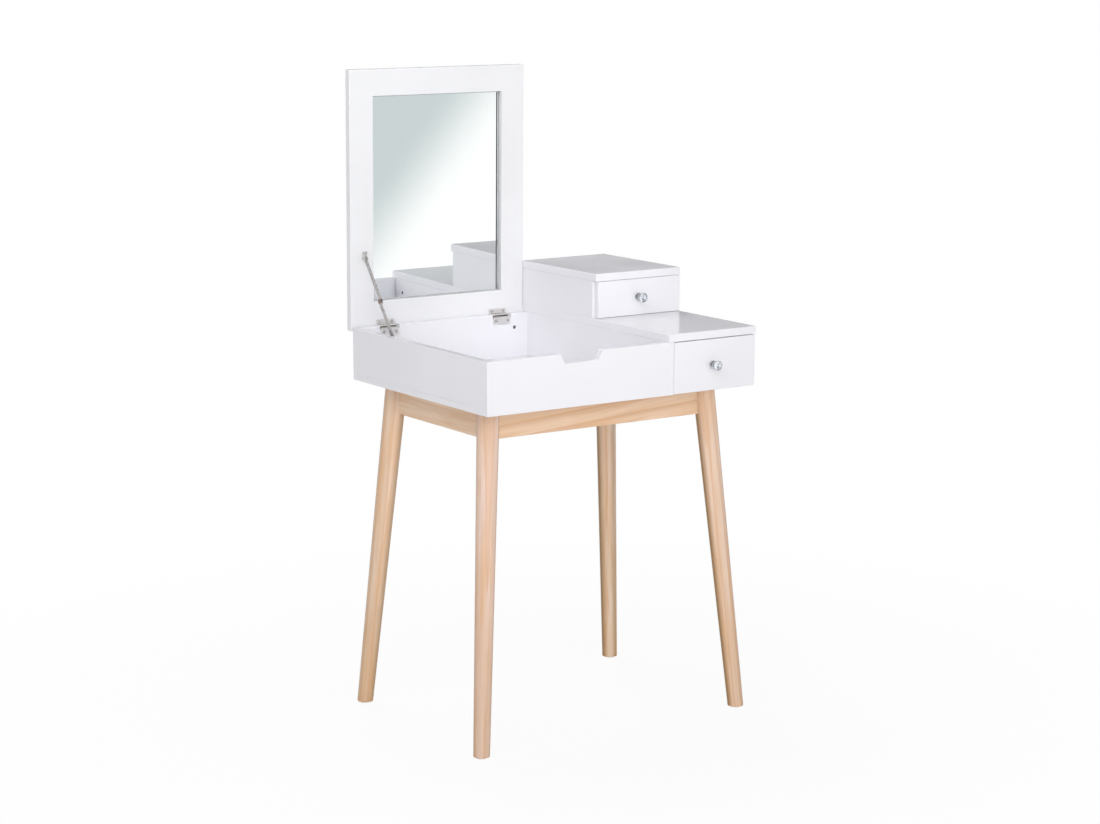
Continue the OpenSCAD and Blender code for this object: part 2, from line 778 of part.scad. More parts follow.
// An arm in the y-z plane between two pivots, with round ends and a hole at its first pivot
module stay_arm(from, to, x) {
  long = norm(to - from);
  translate([x, from.x, from.y]) rotate([atan2(to.y - from.y, to.x - from.x), 0, 0]) rotate([90, 0, 90])
    linear_extrude(arm_t) difference() {
      union() {
        circle(arm_end_r);
        translate([long, 0]) circle(arm_end_r);
        translate([0, -arm_w / 2]) square([long, arm_w]);
      }
      circle(stay_pin_r + pin_clear);
    }
}
module stay_lower_arm() {
  color(nickel) place() {
    stay_arm(stay_low, stay_mid, stay_x);
    translate([stay_x - rivet_head_t, stay_mid.x, stay_mid.y]) along_x()
      cylinder(h = rivet_head_t + arm_t + arm_gap - stay_gap, r = rivet_head_r);
  }
}
module stay_upper_arm() {
  color(nickel) place() {
    stay_arm(stay_up, stay_mid, upper_arm_x);
    translate([upper_arm_x + arm_t - eps, stay_mid.x, stay_mid.y]) along_x()
      cylinder(h = rivet_head_t + eps, r = rivet_head_r);
  }
}

// The lid bracket: a plate on the lid, an ear that stands out from it and the pivot's pin
module stay_lid_screw_place() {
  translate([ear_x + stay_lid_screw_in, stay_up_closed.x - stay_lid_screw_on, wall_top - ear_t])
    rotate([180, 0, 0]) children();
}
module stay_lid_bracket() {
  far = stay_up_closed.x + lid_plate_on - lid_plate_l;
  color(nickel) place() on_lid() difference() {
    union() {
      block([ear_x, far, wall_top - ear_t], [ear_x + lid_plate_w, far + lid_plate_l, wall_top]);
      translate([ear_x, 0, 0]) rotate([90, 0, 90]) linear_extrude(ear_t) {
        polygon([
          [far, wall_top], [far, wall_top - ear_t],
          [stay_up_closed.x - arm_end_r, stay_up_closed.y],
          [stay_up_closed.x + arm_end_r, stay_up_closed.y],
          [far + lid_plate_l, wall_top - ear_t], [far + lid_plate_l, wall_top]
        ]);
        translate(stay_up_closed) circle(arm_end_r);
      }
      translate([upper_arm_x - stay_gap / 2 - rivet_head_t, stay_up_closed.x, stay_up_closed.y]) along_x() {
        cylinder(h = rivet_head_t, r = rivet_head_r);
        cylinder(h = ear_x + ear_t - upper_arm_x + stay_gap / 2 + rivet_head_t, r = stay_pin_r);
      }
    }
    stay_lid_screw_place() screw_hole(screw_l);
  }
}

// Lid and mirror

module lid_panel() {
  color(white_lacquer) place() on_lid() difference() {
    board([lid_l, 0, wall_top], [lid_r, table_d, deck], top_edge_r);
    block([lid_l + mirror_border, mirror_border, wall_top - cut],
      [lid_r - mirror_border, table_d - mirror_border_low, wall_top + recess_d]);
    lid_hinge_screw_places() screw_hole(screw_l);
    stay_lid_screw_place() screw_hole(screw_l);
  }
}
module mirror_glass() {
  top = wall_top + recess_d - tape_t;
  in = mirror_border + mirror_gap;
  low_in = mirror_border_low + mirror_gap;
  color(mirror_silver) place() on_lid()
    block([lid_l + in, in, top - mirror_t], [lid_r - in, table_d - low_in, top]);
}
module mirror_tape() {
  top = wall_top + recess_d;
  color(tape_grey) place() on_lid() for (y = [tape_in, (table_d - tape_w) / 2, table_d - tape_in - tape_w])
    block([lid_l + tape_in, y, top - tape_t], [lid_r - tape_in, y + tape_w, top]);
}

// Drawers

// The front, with the knob's hole
module drawer_front(xs, y, zs) {
  color(white_lacquer) place() difference() {
    board([xs[0], y, zs[0]], [xs[1], y + front_t, zs[1]], front_edge_r);
    translate([drawer_mid_x, y - cut, (zs[0] + zs[1]) / 2]) along_y()
      cylinder(h = front_t + 2 * cut, r = knob_hole_r);
  }
}
// One side of a drawer's box, with the groove for the bottom; s is -1 on the left and 1 on the right
module drawer_side(s, y, long, zs) {
  x0 = s < 0 ? drawer_x[0] : drawer_x[1] - drawer_side_t;
  groove = s < 0 ? [drawer_side_t - groove_d, drawer_side_t + cut] : [-cut, groove_d];
  groove_top = zs[0] + groove_up + drawer_bottom_t + groove_clear;
  color(inner_white) place() difference() {
    block([x0, y, zs[0]], [x0 + drawer_side_t, y + long, zs[1]]);
    block([x0 + groove[0], y - cut, zs[0] + groove_up], [x0 + groove[1], y + long - groove_end, groove_top]);
  }
}
// The back stands on the bottom
module drawer_back(y, long, zs) {
  color(inner_white) place()
    block([drawer_x[0] + drawer_side_t, y + long - drawer_side_t, zs[0] + groove_up + drawer_bottom_t],
      [drawer_x[1] - drawer_side_t, y + long, zs[1]]);
}
module drawer_bottom(y, long, zs) {
  in = drawer_side_t - groove_d + groove_clear;
  color(inner_white) place()
    block([drawer_x[0] + in, y, zs[0] + groove_up],
      [drawer_x[1] - in, y + long - groove_end - groove_clear, zs[0] + groove_up + drawer_bottom_t]);
}

// A rail's channel on the left wall, open towards the drawer, about mid-height z = 0
module rail_channel(long) {
  half = rail_h / 2;
  block([0, 0, -half], [rail_t, long, half]);
  for (z = [-half, half - rail_t]) block([0, 0, z], [rail_flange, long, z + rail_t]);
}
// The runner on the drawer's side, nested in the channel
module runner_channel(long) {
  half = rail_h / 2 - rail_t - rail_clear;
  block([rail_space - rail_t, 0, -half], [rail_space, long, half]);
  for (z = [-half, half - rail_t]) block([rail_t + rail_clear, 0, z], [rail_space, long, z + rail_t]);
}
// Draws a child at the left wall of the drawer bay and its mirror image at the right wall
module both_walls(y, zs) {
  mid = (bay_in_l + bay_in_r) / 2;
  for (s = [0, 1]) translate([mid, y, (zs[0] + zs[1]) / 2]) mirror([s, 0, 0])
    translate([bay_in_l - mid, 0, 0]) children();
}
module drawer_rails(y, long, zs) {
  color(steel) place() both_walls(y + rail_inset, zs) rail_channel(long - rail_setback);
}
module drawer_runners(y, long, zs) {
  color(steel) place() both_walls(y, zs) runner_channel(long - rail_setback);
}

// The knob stands on the drawer front and points towards the user
module knob_place(y, zs) {
  translate([drawer_mid_x, y, (zs[0] + zs[1]) / 2]) against_y() children();
}
module knob_base(y, zs) {
  ease = knob_flange_t / 2;
  color(chrome) place() knob_place(y, zs) rotate_extrude() difference() {
    polygon([
      [0, 0], [knob_flange_r, 0], [knob_flange_r, ease], [knob_flange_r - ease, knob_flange_t],
      [knob_neck_r, knob_waist[0]], [knob_neck_r, knob_waist[1]],
      [knob_cup_r, knob_base_l - knob_seat_d], [knob_cup_r, knob_base_l], [0, knob_base_l]
    ]);
    translate([0, knob_base_l - knob_seat_d]) square([knob_seat_r + knob_seat_clear, knob_seat_d + cut]);
    translate([0, -cut]) square([knob_screw_r + knob_screw_clear, knob_bore_l + cut]);
  }
}
// The crystal: a round stem in the cup, then rings of facets out to the girdle and in to the table
module knob_crystal(y, zs) {
  z0 = knob_base_l + knob_lip;
  color(crystal) place() knob_place(y, zs) {
    translate([0, 0, knob_base_l - knob_seat_d]) cylinder(h = knob_seat_d + knob_lip + eps, r = knob_seat_r);
    hull() for (g = crystal_rings)
      translate([0, 0, z0 + g[0] * knob_head_l - eps]) rotate([0, 0, g[3] * 90 / knob_facets])
        cylinder(h = eps, r = g[1] * knob_d / 2, $fn = g[2] * knob_facets);
  }
}
module knob_screw(y, zs) {
  color(steel) place() knob_place(y, zs) {
    translate([0, 0, -front_t - knob_screw_head_h]) difference() {
      cylinder(h = knob_screw_head_h, r = knob_screw_head_r);
      for (a = [0, 90]) rotate([0, 0, a])
        translate([-knob_screw_head_r / 2, -slot_w / 2, -cut]) cube([knob_screw_head_r, slot_w, cut + slot_d]);
    }
    translate([0, 0, -front_t - eps]) cylinder(h = front_t + knob_bore_l - slot_d + eps, r = knob_screw_r);
  }
}

// The pieces of each drawer
module lower_drawer_front() { drawer_front(lower_front_x, lower_y, lower_front_z); }
module lower_drawer_left_side() { drawer_side(-1, lower_box_y, lower_drawer_l, lower_box_z); }
module lower_drawer_right_side() { drawer_side(1, lower_box_y, lower_drawer_l, lower_box_z); }
module lower_drawer_back() { drawer_back(lower_box_y, lower_drawer_l, lower_box_z); }
module lower_drawer_bottom() { drawer_bottom(lower_box_y, lower_drawer_l, lower_box_z); }
module lower_drawer_rails() { drawer_rails(lower_box_y, lower_drawer_l, lower_box_z); }
module lower_drawer_runners() { drawer_runners(lower_box_y, lower_drawer_l, lower_box_z); }
module lower_knob_base() { knob_base(lower_y, lower_front_z); }
module lower_knob_crystal() { knob_crystal(lower_y, lower_front_z); }
module lower_knob_screw() { knob_screw(lower_y, lower_front_z); }
module upper_drawer_front() { drawer_front(upper_front_x, upper_y, upper_front_z); }
module upper_drawer_left_side() { drawer_side(-1, upper_box_y, upper_drawer_l, upper_box_z); }
module upper_drawer_right_side() { drawer_side(1, upper_box_y, upper_drawer_l, upper_box_z); }
module upper_drawer_back() { drawer_back(upper_box_y, upper_drawer_l, upper_box_z); }
module upper_drawer_bottom() { drawer_bottom(upper_box_y, upper_drawer_l, upper_box_z); }
module upper_drawer_rails() { drawer_rails(upper_box_y, upper_drawer_l, upper_box_z); }
module upper_drawer_runners() { drawer_runners(upper_box_y, upper_drawer_l, upper_box_z); }
module upper_knob_base() { knob_base(upper_y, upper_front_z); }
module upper_knob_crystal() { knob_crystal(upper_y, upper_front_z); }
module upper_knob_screw() { knob_screw(upper_y, upper_front_z); }

bottom_board();
left_side_panel();
right_side_panel();
front_panel();
back_panel();
partition_panel();
lower_top_board();
upper_left_side();
upper_right_side();
upper_back();
upper_top_board();
connector_screws();
front_apron();
rear_apron();
left_apron();
right_apron();
front_left_leg();
front_right_leg();
rear_left_leg();
rear_right_leg();
corner_blocks();
leg_bolts();
frame_screws();
foot_glides();
left_hinge_case_leaf();
right_hinge_case_leaf();
hinge_pins();
case_screws();
stay_case_bracket();
stay_lower_arm();
stay_upper_arm();
stay_lid_bracket();
lid_panel();
mirror_glass();
mirror_tape();
left_hinge_lid_leaf();
right_hinge_lid_leaf();
lid_screws();
lower_drawer_rails();
upper_drawer_rails();
lower_drawer_front();
lower_drawer_left_side();
lower_drawer_right_side();
lower_drawer_back();
lower_drawer_bottom();
lower_drawer_runners();
lower_knob_base();
lower_knob_crystal();
lower_knob_screw();
upper_drawer_front();
upper_drawer_left_side();
upper_drawer_right_side();
upper_drawer_back();
upper_drawer_bottom();
upper_drawer_runners();
upper_knob_base();
upper_knob_crystal();
upper_knob_screw();
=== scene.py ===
# %% [markdown]
# # Flip-top vanity table
# The shapes come from the measured CAD model, already in place and in metres. This lesson
# gives them their finishes, replaces the few pieces that deserve a finer shape (the cut
# knobs and the mirror), and sets up the studio and the camera.

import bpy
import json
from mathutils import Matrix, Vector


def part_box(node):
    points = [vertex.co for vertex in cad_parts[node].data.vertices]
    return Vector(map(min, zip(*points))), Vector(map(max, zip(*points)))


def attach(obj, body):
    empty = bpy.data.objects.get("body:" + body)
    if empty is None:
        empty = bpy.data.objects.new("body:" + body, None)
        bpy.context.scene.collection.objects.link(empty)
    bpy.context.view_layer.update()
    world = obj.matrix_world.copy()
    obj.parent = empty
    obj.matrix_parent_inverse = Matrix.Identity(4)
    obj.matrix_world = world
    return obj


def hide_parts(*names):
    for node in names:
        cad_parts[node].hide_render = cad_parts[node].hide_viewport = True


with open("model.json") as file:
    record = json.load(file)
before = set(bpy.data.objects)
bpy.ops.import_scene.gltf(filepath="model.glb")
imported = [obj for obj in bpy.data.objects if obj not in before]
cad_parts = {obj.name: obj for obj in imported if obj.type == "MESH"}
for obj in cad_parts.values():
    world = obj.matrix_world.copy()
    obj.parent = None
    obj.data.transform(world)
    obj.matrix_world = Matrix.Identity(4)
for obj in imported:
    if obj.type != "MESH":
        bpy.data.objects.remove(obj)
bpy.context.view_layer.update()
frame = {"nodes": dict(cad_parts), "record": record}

import json
from math import degrees, pi, radians

import bmesh
import bpy
from mathutils import Matrix, Vector

nodes = frame["nodes"]

# %% [markdown]
# ## Small helpers
# Every material here is a node tree. Adding a node, giving it its values and joining it up is
# always the same few lines, so they are written once. They could also be clicked together in
# the Shader Editor; a script has the advantage that each value stays readable and can be found
# again.

# %% Helpers for node trees
def add(tree, kind, values=None, **settings):
    """Adds a node, sets its options, then the values of its inputs by name or number."""
    n = tree.nodes.new(kind)
    for name, value in settings.items():
        setattr(n, name, value)
    for name, value in (values or {}).items():
        n.inputs[name].default_value = value
    return n


def join(tree, source, out, target, into):
    """Joins an output to an input."""
    tree.links.new(source.outputs[out], target.inputs[into])


def mix_colour(tree, factor, first, second, blend="MIX"):
    """Mixes two colours. Each of the three is a value or a (node, output) pair."""
    n = add(tree, "ShaderNodeMix", data_type="RGBA", blend_type=blend)
    for place, what in ((0, factor), (6, first), (7, second)):
        if isinstance(what, tuple) and isinstance(what[0], bpy.types.Node):
            join(tree, what[0], what[1], n, place)
        else:
            n.inputs[place].default_value = what
    return n, 2


def remap(tree, source, out, low, high, new_low, new_high):
    """Maps a range of values to another one."""
    n = add(tree, "ShaderNodeMapRange", {1: low, 2: high, 3: new_low, 4: new_high})
    join(tree, source, out, n, 0)
    return n, 0


def new_material(name, **values):
    """A material with one Principled BSDF, whose constants are set on its own sockets."""
    mat = bpy.data.materials.new(name)
    mat.use_nodes = True
    tree = mat.node_tree
    shader = tree.nodes["Principled BSDF"]
    for socket, value in values.items():
        shader.inputs[socket.replace("_", " ")].default_value = value
    return mat, tree, shader


def paint(mat, *names):
    """Gives the material to CAD nodes."""
    for name in names:
        for slot in nodes[name].material_slots:
            slot.material = mat
        if not nodes[name].material_slots:
            nodes[name].data.materials.append(mat)
    print(mat.name, "on", len(names), "pieces")


# %% [markdown]
# ## Shared effects
# Three effects come back on several finishes: softened edges, a fine uneven skin, and painted
# shade in crevices. Each is built once as a node group that puts out a mask or a height, and
# the material decides what to do with it. They could be painted as pictures instead, but a
# group still fits when the shape changes. The edge mask compares the true normal with the one
# a Bevel node gives, which works on the CAD meshes although their triangles share no corners.
# The crevice mask asks an Ambient Occlusion node how shut in a point is, and the metals paint
# shade where it is.

# %% Group: edge mask
def make_group(name, inputs, outputs):
    """An empty node group with named inputs and outputs, and its two end nodes."""
    group = bpy.data.node_groups.new(name, "ShaderNodeTree")
    for socket, kind, value in inputs:
        s = group.interface.new_socket(socket, in_out="INPUT", socket_type=kind)
        if value is not None:
            s.default_value = value
    for socket, kind in outputs:
        group.interface.new_socket(socket, in_out="OUTPUT", socket_type=kind)
    return group, add(group, "NodeGroupInput"), add(group, "NodeGroupOutput")


FLOAT, VECTOR = "NodeSocketFloat", "NodeSocketVector"

edge_group, ends, out = make_group(
    "edge_mask", [("Radius", FLOAT, 0.002), ("Sharpness", FLOAT, 8.0)], [("Mask", FLOAT)])
bevel = add(edge_group, "ShaderNodeBevel", samples=4)
join(edge_group, ends, "Radius", bevel, "Radius")
true_normal = add(edge_group, "ShaderNodeNewGeometry")
both = add(edge_group, "ShaderNodeVectorMath", operation="DOT_PRODUCT")
join(edge_group, bevel, 0, both, 0)
join(edge_group, true_normal, "Normal", both, 1)
away = add(edge_group, "ShaderNodeMath", {0: 1.0}, operation="SUBTRACT")
join(edge_group, both, "Value", away, 1)
strong = add(edge_group, "ShaderNodeMath", operation="MULTIPLY", use_clamp=True)
join(edge_group, away, 0, strong, 0)
join(edge_group, ends, "Sharpness", strong, 1)
join(edge_group, strong, 0, out, "Mask")
print("edge_mask:", len(edge_group.nodes), "nodes")

# %% Group: uneven skin
skin_group, ends, out = make_group(
    "uneven_skin", [("Vector", VECTOR, None), ("Fine scale", FLOAT, 900.0)],
    [("Clouds", FLOAT), ("Height", FLOAT)])
clouds = add(skin_group, "ShaderNodeTexNoise", {"Scale": 7.0, "Detail": 3.0})
peel = add(skin_group, "ShaderNodeTexNoise", {"Detail": 1.0})
join(skin_group, ends, "Vector", clouds, "Vector")
join(skin_group, ends, "Vector", peel, "Vector")
join(skin_group, ends, "Fine scale", peel, "Scale")
join(skin_group, clouds, 0, out, "Clouds")
join(skin_group, peel, 0, out, "Height")
print("uneven_skin:", len(skin_group.nodes), "nodes")

# %% Group: crevice mask
# the metals paint shade where this mask says a point is shut in
crevice_group, ends, out = make_group(
    "crevice_mask", [("Reach", FLOAT, 0.003)], [("Mask", FLOAT)])
shut_in = add(crevice_group, "ShaderNodeAmbientOcclusion", samples=8)
join(crevice_group, ends, "Reach", shut_in, "Distance")
narrow = remap(crevice_group, shut_in, "AO", 0.35, 0.85, 1.0, 0.0)
join(crevice_group, *narrow, out, "Mask")
print("crevice_mask:", len(crevice_group.nodes), "nodes")

# %% [markdown]
# ## White satin lacquer
# The boxes are board with a cool white satin lacquer. A flat white would look like plastic:
# the real skin has a faint orange peel, its gloss wanders a little, and along the edges,
# where hands and cloths pass, it is polished slightly smoother. One function makes all three
# paints: the boxes', the lid's, which is a touch less violet, and the plainer one that the
# drawers have inside.

# %% Lacquer
def place_group(tree, group, **values):
    """Places a node group and sets its inputs."""
    n = add(tree, "ShaderNodeGroup", node_tree=group)
    for socket, value in values.items():
        n.inputs[socket.replace("_", " ")].default_value = value
    return n


RUBBED_WIDTH, RUBBED_TONE, RUBBED_SMOOTHER, GLOSS_WANDER = 0.0016, 0.965, 0.12, 0.03


def lacquer(name, colour, shade, rough, peel_depth):
    """A painted finish: colour with faint clouds, uneven gloss, orange peel and rubbed edges."""
    mat, tree, shader = new_material(name, IOR=1.48)
    where = add(tree, "ShaderNodeTexCoord")
    skin = place_group(tree, skin_group)
    join(tree, where, "Object", skin, "Vector")
    edges = place_group(tree, edge_group, Radius=RUBBED_WIDTH, Sharpness=5.0)
    tone = mix_colour(tree, remap(tree, skin, "Clouds", 0.35, 0.65, 0.0, 1.0), shade, colour)
    worn = mix_colour(tree, (edges, "Mask"), tone, [c * RUBBED_TONE for c in colour[:3]] + [1.0])
    join(tree, *worn, shader, "Base Color")
    uneven = remap(tree, skin, "Clouds", 0.3, 0.7, rough - GLOSS_WANDER, rough + GLOSS_WANDER)
    rubbed = add(tree, "ShaderNodeMath", {1: RUBBED_SMOOTHER}, operation="MULTIPLY")
    join(tree, edges, "Mask", rubbed, 0)
    smoother = add(tree, "ShaderNodeMath", operation="SUBTRACT", use_clamp=True)
    join(tree, *uneven, smoother, 0)
    join(tree, rubbed, 0, smoother, 1)
    join(tree, smoother, 0, shader, "Roughness")
    bump = add(tree, "ShaderNodeBump", {"Strength": 0.35, "Distance": peel_depth})
    join(tree, skin, "Height", bump, "Height")
    join(tree, bump, 0, shader, "Normal")
    return mat


SATIN, ORANGE_PEEL = 0.17, 0.00004
white_lacquer = lacquer("white_lacquer", (0.872, 0.867, 0.904, 1), (0.852, 0.847, 0.885, 1),
                        SATIN, ORANGE_PEEL)
lid_lacquer = lacquer("lid_lacquer", (0.868, 0.871, 0.889, 1), (0.850, 0.852, 0.870, 1),
                      SATIN, ORANGE_PEEL)
inner_board = lacquer("drawer_board", (0.80, 0.80, 0.83, 1), (0.77, 0.77, 0.80, 1), 0.5, 0.0001)
paint(white_lacquer, "bottom_board", "left_side_panel", "right_side_panel", "front_panel",
      "back_panel", "partition_panel", "lower_top_board", "upper_left_side", "upper_right_side",
      "upper_back", "upper_top_board", "lower_drawer_front", "upper_drawer_front")
paint(lid_lacquer, "lid_panel")
paint(inner_board, *[f"{box}_drawer_{part}" for box in ("lower", "upper")
                     for part in ("left_side", "right_side", "back", "bottom")])

# %% [markdown]
# ## Pine
# Legs and aprons are pale pine under clear satin lacquer. Pine shows growth rings cut
# lengthwise: soft, wide, pale early wood between thin, warmer late-wood lines, all running
# along the piece. The group reads a position whose Z runs along the grain and whose origin is
# the heart of the tree, somewhere beside the piece, so each piece gets its own cut. A picture
# of wood could be wrapped round instead, but it would repeat and would stretch on the tapered
# legs. The material also paints shade: brown at the outline where the wood curves away, on
# the sides that face the middle of the table, which get less light, and towards the feet. Each
# piece's tint is partly its wood's own tone and partly painted light that brightens pieces the
# lamps reach too little.

# %% Group: pine grain
grain_group, ends, out = make_group(
    "pine_grain", [("Vector", VECTOR, None), ("Ring scale", FLOAT, 40.0)],
    [("Rings", FLOAT), ("Streaks", FLOAT), ("Flames", FLOAT), ("Tone", FLOAT), ("Height", FLOAT)])


def drawn_out(share):
    """The group's position with its length shrunk, which draws a pattern out along the grain."""
    n = add(grain_group, "ShaderNodeVectorMath", {1: (1.0, 1.0, share)}, operation="MULTIPLY")
    join(grain_group, ends, "Vector", n, 0)
    return n


stretch = drawn_out(0.055)
wander = add(grain_group, "ShaderNodeTexNoise", {"Scale": 22.0, "Detail": 2.0})
join(grain_group, stretch, 0, wander, "Vector")
centred = add(grain_group, "ShaderNodeVectorMath", {1: (0.5, 0.5, 0.5)}, operation="SUBTRACT")
join(grain_group, wander, 1, centred, 0)
pushed = add(grain_group, "ShaderNodeVectorMath", {1: (0.014, 0.014, 0.0)},
             operation="MULTIPLY_ADD")
join(grain_group, centred, 0, pushed, 0)
join(grain_group, stretch, 0, pushed, 2)
rings = add(grain_group, "ShaderNodeTexWave",
            {"Distortion": 1.2, "Detail": 2.0, "Detail Scale": 1.5},
            wave_type="RINGS", rings_direction="Z", wave_profile="SAW")
join(grain_group, pushed, 0, rings, "Vector")
join(grain_group, ends, "Ring scale", rings, "Scale")
late = add(grain_group, "ShaderNodeMath", {1: 3.2}, operation="POWER")
join(grain_group, rings, 1, late, 0)
fibres = add(grain_group, "ShaderNodeTexNoise", {"Scale": 620.0, "Detail": 3.0})
join(grain_group, drawn_out(0.018), 0, fibres, "Vector")
flames = add(grain_group, "ShaderNodeTexNoise", {"Scale": 105.0, "Detail": 2.0, "Distortion": 0.5})
join(grain_group, drawn_out(0.05), 0, flames, "Vector")
broad = add(grain_group, "ShaderNodeTexNoise", {"Scale": 46.0, "Detail": 2.0})
join(grain_group, stretch, 0, broad, "Vector")
for pattern, name in ((late, "Rings"), (fibres, "Streaks"), (flames, "Flames"), (broad, "Tone")):
    join(grain_group, pattern, 0, out, name)
relief = add(grain_group, "ShaderNodeMath", {1: 0.5}, operation="MULTIPLY_ADD")
join(grain_group, late, 0, relief, 0)
join(grain_group, fibres, 0, relief, 2)
join(grain_group, relief, 0, out, "Height")
print("pine_grain:", len(grain_group.nodes), "nodes")

# %% Pine finish
PALE, WARM, LATE = (0.89, 0.725, 0.61, 1), (0.79, 0.56, 0.39, 1), (0.70, 0.40, 0.225, 1)
FLAME, FIBRE = (0.80, 0.50, 0.285, 1), (0.62, 0.37, 0.21, 1)
# the foot tone is painted shade that darkens the legs towards the feet
FOOT_SHADE, FOOT_Z, SHOULDER_Z = (0.86, 0.80, 0.70, 1), 0.02, 0.52
# the rim tone is painted shade at the outline and on the sides that look inwards
RIM_SHADE, EDGE_STARTS, EDGE_ENDS, EDGE_SHARE = (0.33, 0.18, 0.06, 1), 0.55, 0.95, 0.62


def inner_side(tree, where, facing, strength):
    """Masks painted shade on the side facing the middle of the table, where it curves away."""
    to_middle = add(tree, "ShaderNodeVectorMath", {1: (-1, -1, 0)}, operation="MULTIPLY")
    join(tree, where, "Object", to_middle, 0)
    inward = add(tree, "ShaderNodeVectorMath", operation="NORMALIZE")
    join(tree, to_middle, 0, inward, 0)
    turned_in = add(tree, "ShaderNodeVectorMath", operation="DOT_PRODUCT")
    join(tree, inward, 0, turned_in, 0)
    join(tree, add(tree, "ShaderNodeNewGeometry"), "Normal", turned_in, 1)
    mask = add(tree, "ShaderNodeMath", operation="MULTIPLY")
    join(tree, *remap(tree, facing, "Facing", 0.10, 0.50, 0.0, 1.0), mask, 0)
    join(tree, *remap(tree, turned_in, "Value", -0.1, 0.5, 0.0, strength), mask, 1)
    return mask


def pine(name, heart, turn, ring_scale, contrast=0.45, tint=(1, 1, 1), inner=0.5):
    """Pine whose grain runs along the Z of a frame at the tree's heart, turned by turn.

    The tint for the pale and warm wood is partly the wood's own tone and partly painted light.
    The last argument sets how strong the painted shade is on the sides that look to the middle
    of the table.
    """
    pale, warm = ([a * b for a, b in zip(tone, (*tint, 1))] for tone in (PALE, WARM))
    mat, tree, shader = new_material(name, IOR=1.5, Specular_IOR_Level=0.22)
    where = add(tree, "ShaderNodeTexCoord")
    cut = add(tree, "ShaderNodeMapping", {"Location": heart, "Rotation": turn},
              vector_type="TEXTURE")
    join(tree, where, "Object", cut, "Vector")
    grain = place_group(tree, grain_group, Ring_scale=ring_scale)
    join(tree, cut, 0, grain, "Vector")
    edges = place_group(tree, edge_group, Radius=0.0025, Sharpness=4.0)
    tone = mix_colour(tree, remap(tree, grain, "Tone", 0.3, 0.7, 0.0, 1.0), pale, warm)
    lines = mix_colour(tree, remap(tree, grain, "Rings", 0.0, 1.0, 0.0, contrast), tone, LATE)
    flamed = mix_colour(tree, remap(tree, grain, "Flames", 0.48, 0.66, 0.0, 0.65), lines, FLAME)
    fibre = mix_colour(tree, remap(tree, grain, "Streaks", 0.35, 0.65, 0.0, 0.22), flamed, FIBRE)
    worn = mix_colour(tree, remap(tree, edges, "Mask", 0.0, 1.0, 0.0, 0.35), fibre, pale)
    # painted shade: the wood darkens towards the feet
    height = add(tree, "ShaderNodeSeparateXYZ")
    join(tree, where, "Object", height, 0)
    foot_shaded = mix_colour(tree, remap(tree, height, "Z", SHOULDER_Z, FOOT_Z, 0.0, 1.0), worn,
                      FOOT_SHADE, "MULTIPLY")
    # painted shade at the outline, where the wood turns away, and on the sides that look inwards
    facing = add(tree, "ShaderNodeLayerWeight", {"Blend": 0.5})
    rim = add(tree, "ShaderNodeMath", operation="MAXIMUM")
    join(tree, inner_side(tree, where, facing, inner), 0, rim, 0)
    join(tree, *remap(tree, facing, "Facing", EDGE_STARTS, EDGE_ENDS, 0.0, EDGE_SHARE), rim, 1)
    rim_shaded = mix_colour(tree, (rim, 0), foot_shaded, RIM_SHADE)
    join(tree, *rim_shaded, shader, "Base Color")
    join(tree, *remap(tree, grain, "Streaks", 0.3, 0.7, 0.26, 0.38), shader, "Roughness")
    bump = add(tree, "ShaderNodeBump", {"Strength": 0.25, "Distance": 0.00012})
    join(tree, grain, "Height", bump, "Height")
    join(tree, bump, 0, shader, "Normal")
    return mat


# %% Pine for the aprons, once for each direction of grain
# the tints are partly the wood's own tone and partly painted light for pieces that the lamps reach
# too little
along_x, along_y = (0, radians(90), 0), (radians(-90), 0, 0)
slanting_x = (0, radians(86), 0)
paint(pine("pine_across", (0, -0.14, 0.55), slanting_x, 13.0, 0.75, (1.07, 1.0, 0.89)),
      "front_apron")
paint(pine("pine_across_rear", (0, 0.10, 0.70), along_x, 18.0), "rear_apron")
paint(pine("pine_deep_left", (-0.17, 0, 0.56), along_y, 16.0, 0.3, (1.14, 1.15, 1.13)),
      "left_apron")
paint(pine("pine_deep_right", (0.30, 0, 0.66), along_y, 17.0), "right_apron")
paint(pine("pine_blocks", (0.02, 0.01, 0.50), along_x, 20.0), "corner_blocks")

# %% Pine for the legs: the grain follows each leg's lean
FOOT_RADIUS, TOP_RADIUS, HEART_X, HEART_Y = 0.0155, 0.021, 0.030, 0.052
LEG_RINGS, LEG_CONTRAST = 22.0, 0.6
# for each leg the tint of its wood, which is partly painted light, and how strong the
# painted shade is on the side that looks to the middle of the table
LEG_TINTS_AND_SHADE = {"front_left": ((1.02, 1.03, 1.14), 0.25), "front_right": ((1.06, 1.09, 1.16), 1.00),
             "rear_left": ((0.98, 0.98, 0.96), 0.62), "rear_right": ((1.13, 1.21, 1.27), 0.95)}
for place, (tint, inner) in LEG_TINTS_AND_SHADE.items():
    low, high = (Vector(c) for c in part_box(f"{place}_leg"))
    out_x = -1 if "left" in place else 1
    out_y = -1 if "front" in place else 1
    foot = Vector((low.x + FOOT_RADIUS if out_x < 0 else high.x - FOOT_RADIUS,
                   low.y + FOOT_RADIUS if out_y < 0 else high.y - FOOT_RADIUS, low.z))
    top = Vector((high.x - TOP_RADIUS if out_x < 0 else low.x + TOP_RADIUS,
                  high.y - TOP_RADIUS if out_y < 0 else low.y + TOP_RADIUS, high.z))
    lean = (top - foot).to_track_quat("Z", "Y").to_euler()
    heart = foot + Vector((HEART_X * out_x, HEART_Y * out_y, 0))
    paint(pine(f"pine_{place}_leg", heart, lean, LEG_RINGS, LEG_CONTRAST, tint, inner),
          f"{place}_leg")
    print(place, "leans", round(degrees((top - foot).angle(Vector((0, 0, 1)))), 1), "degrees")
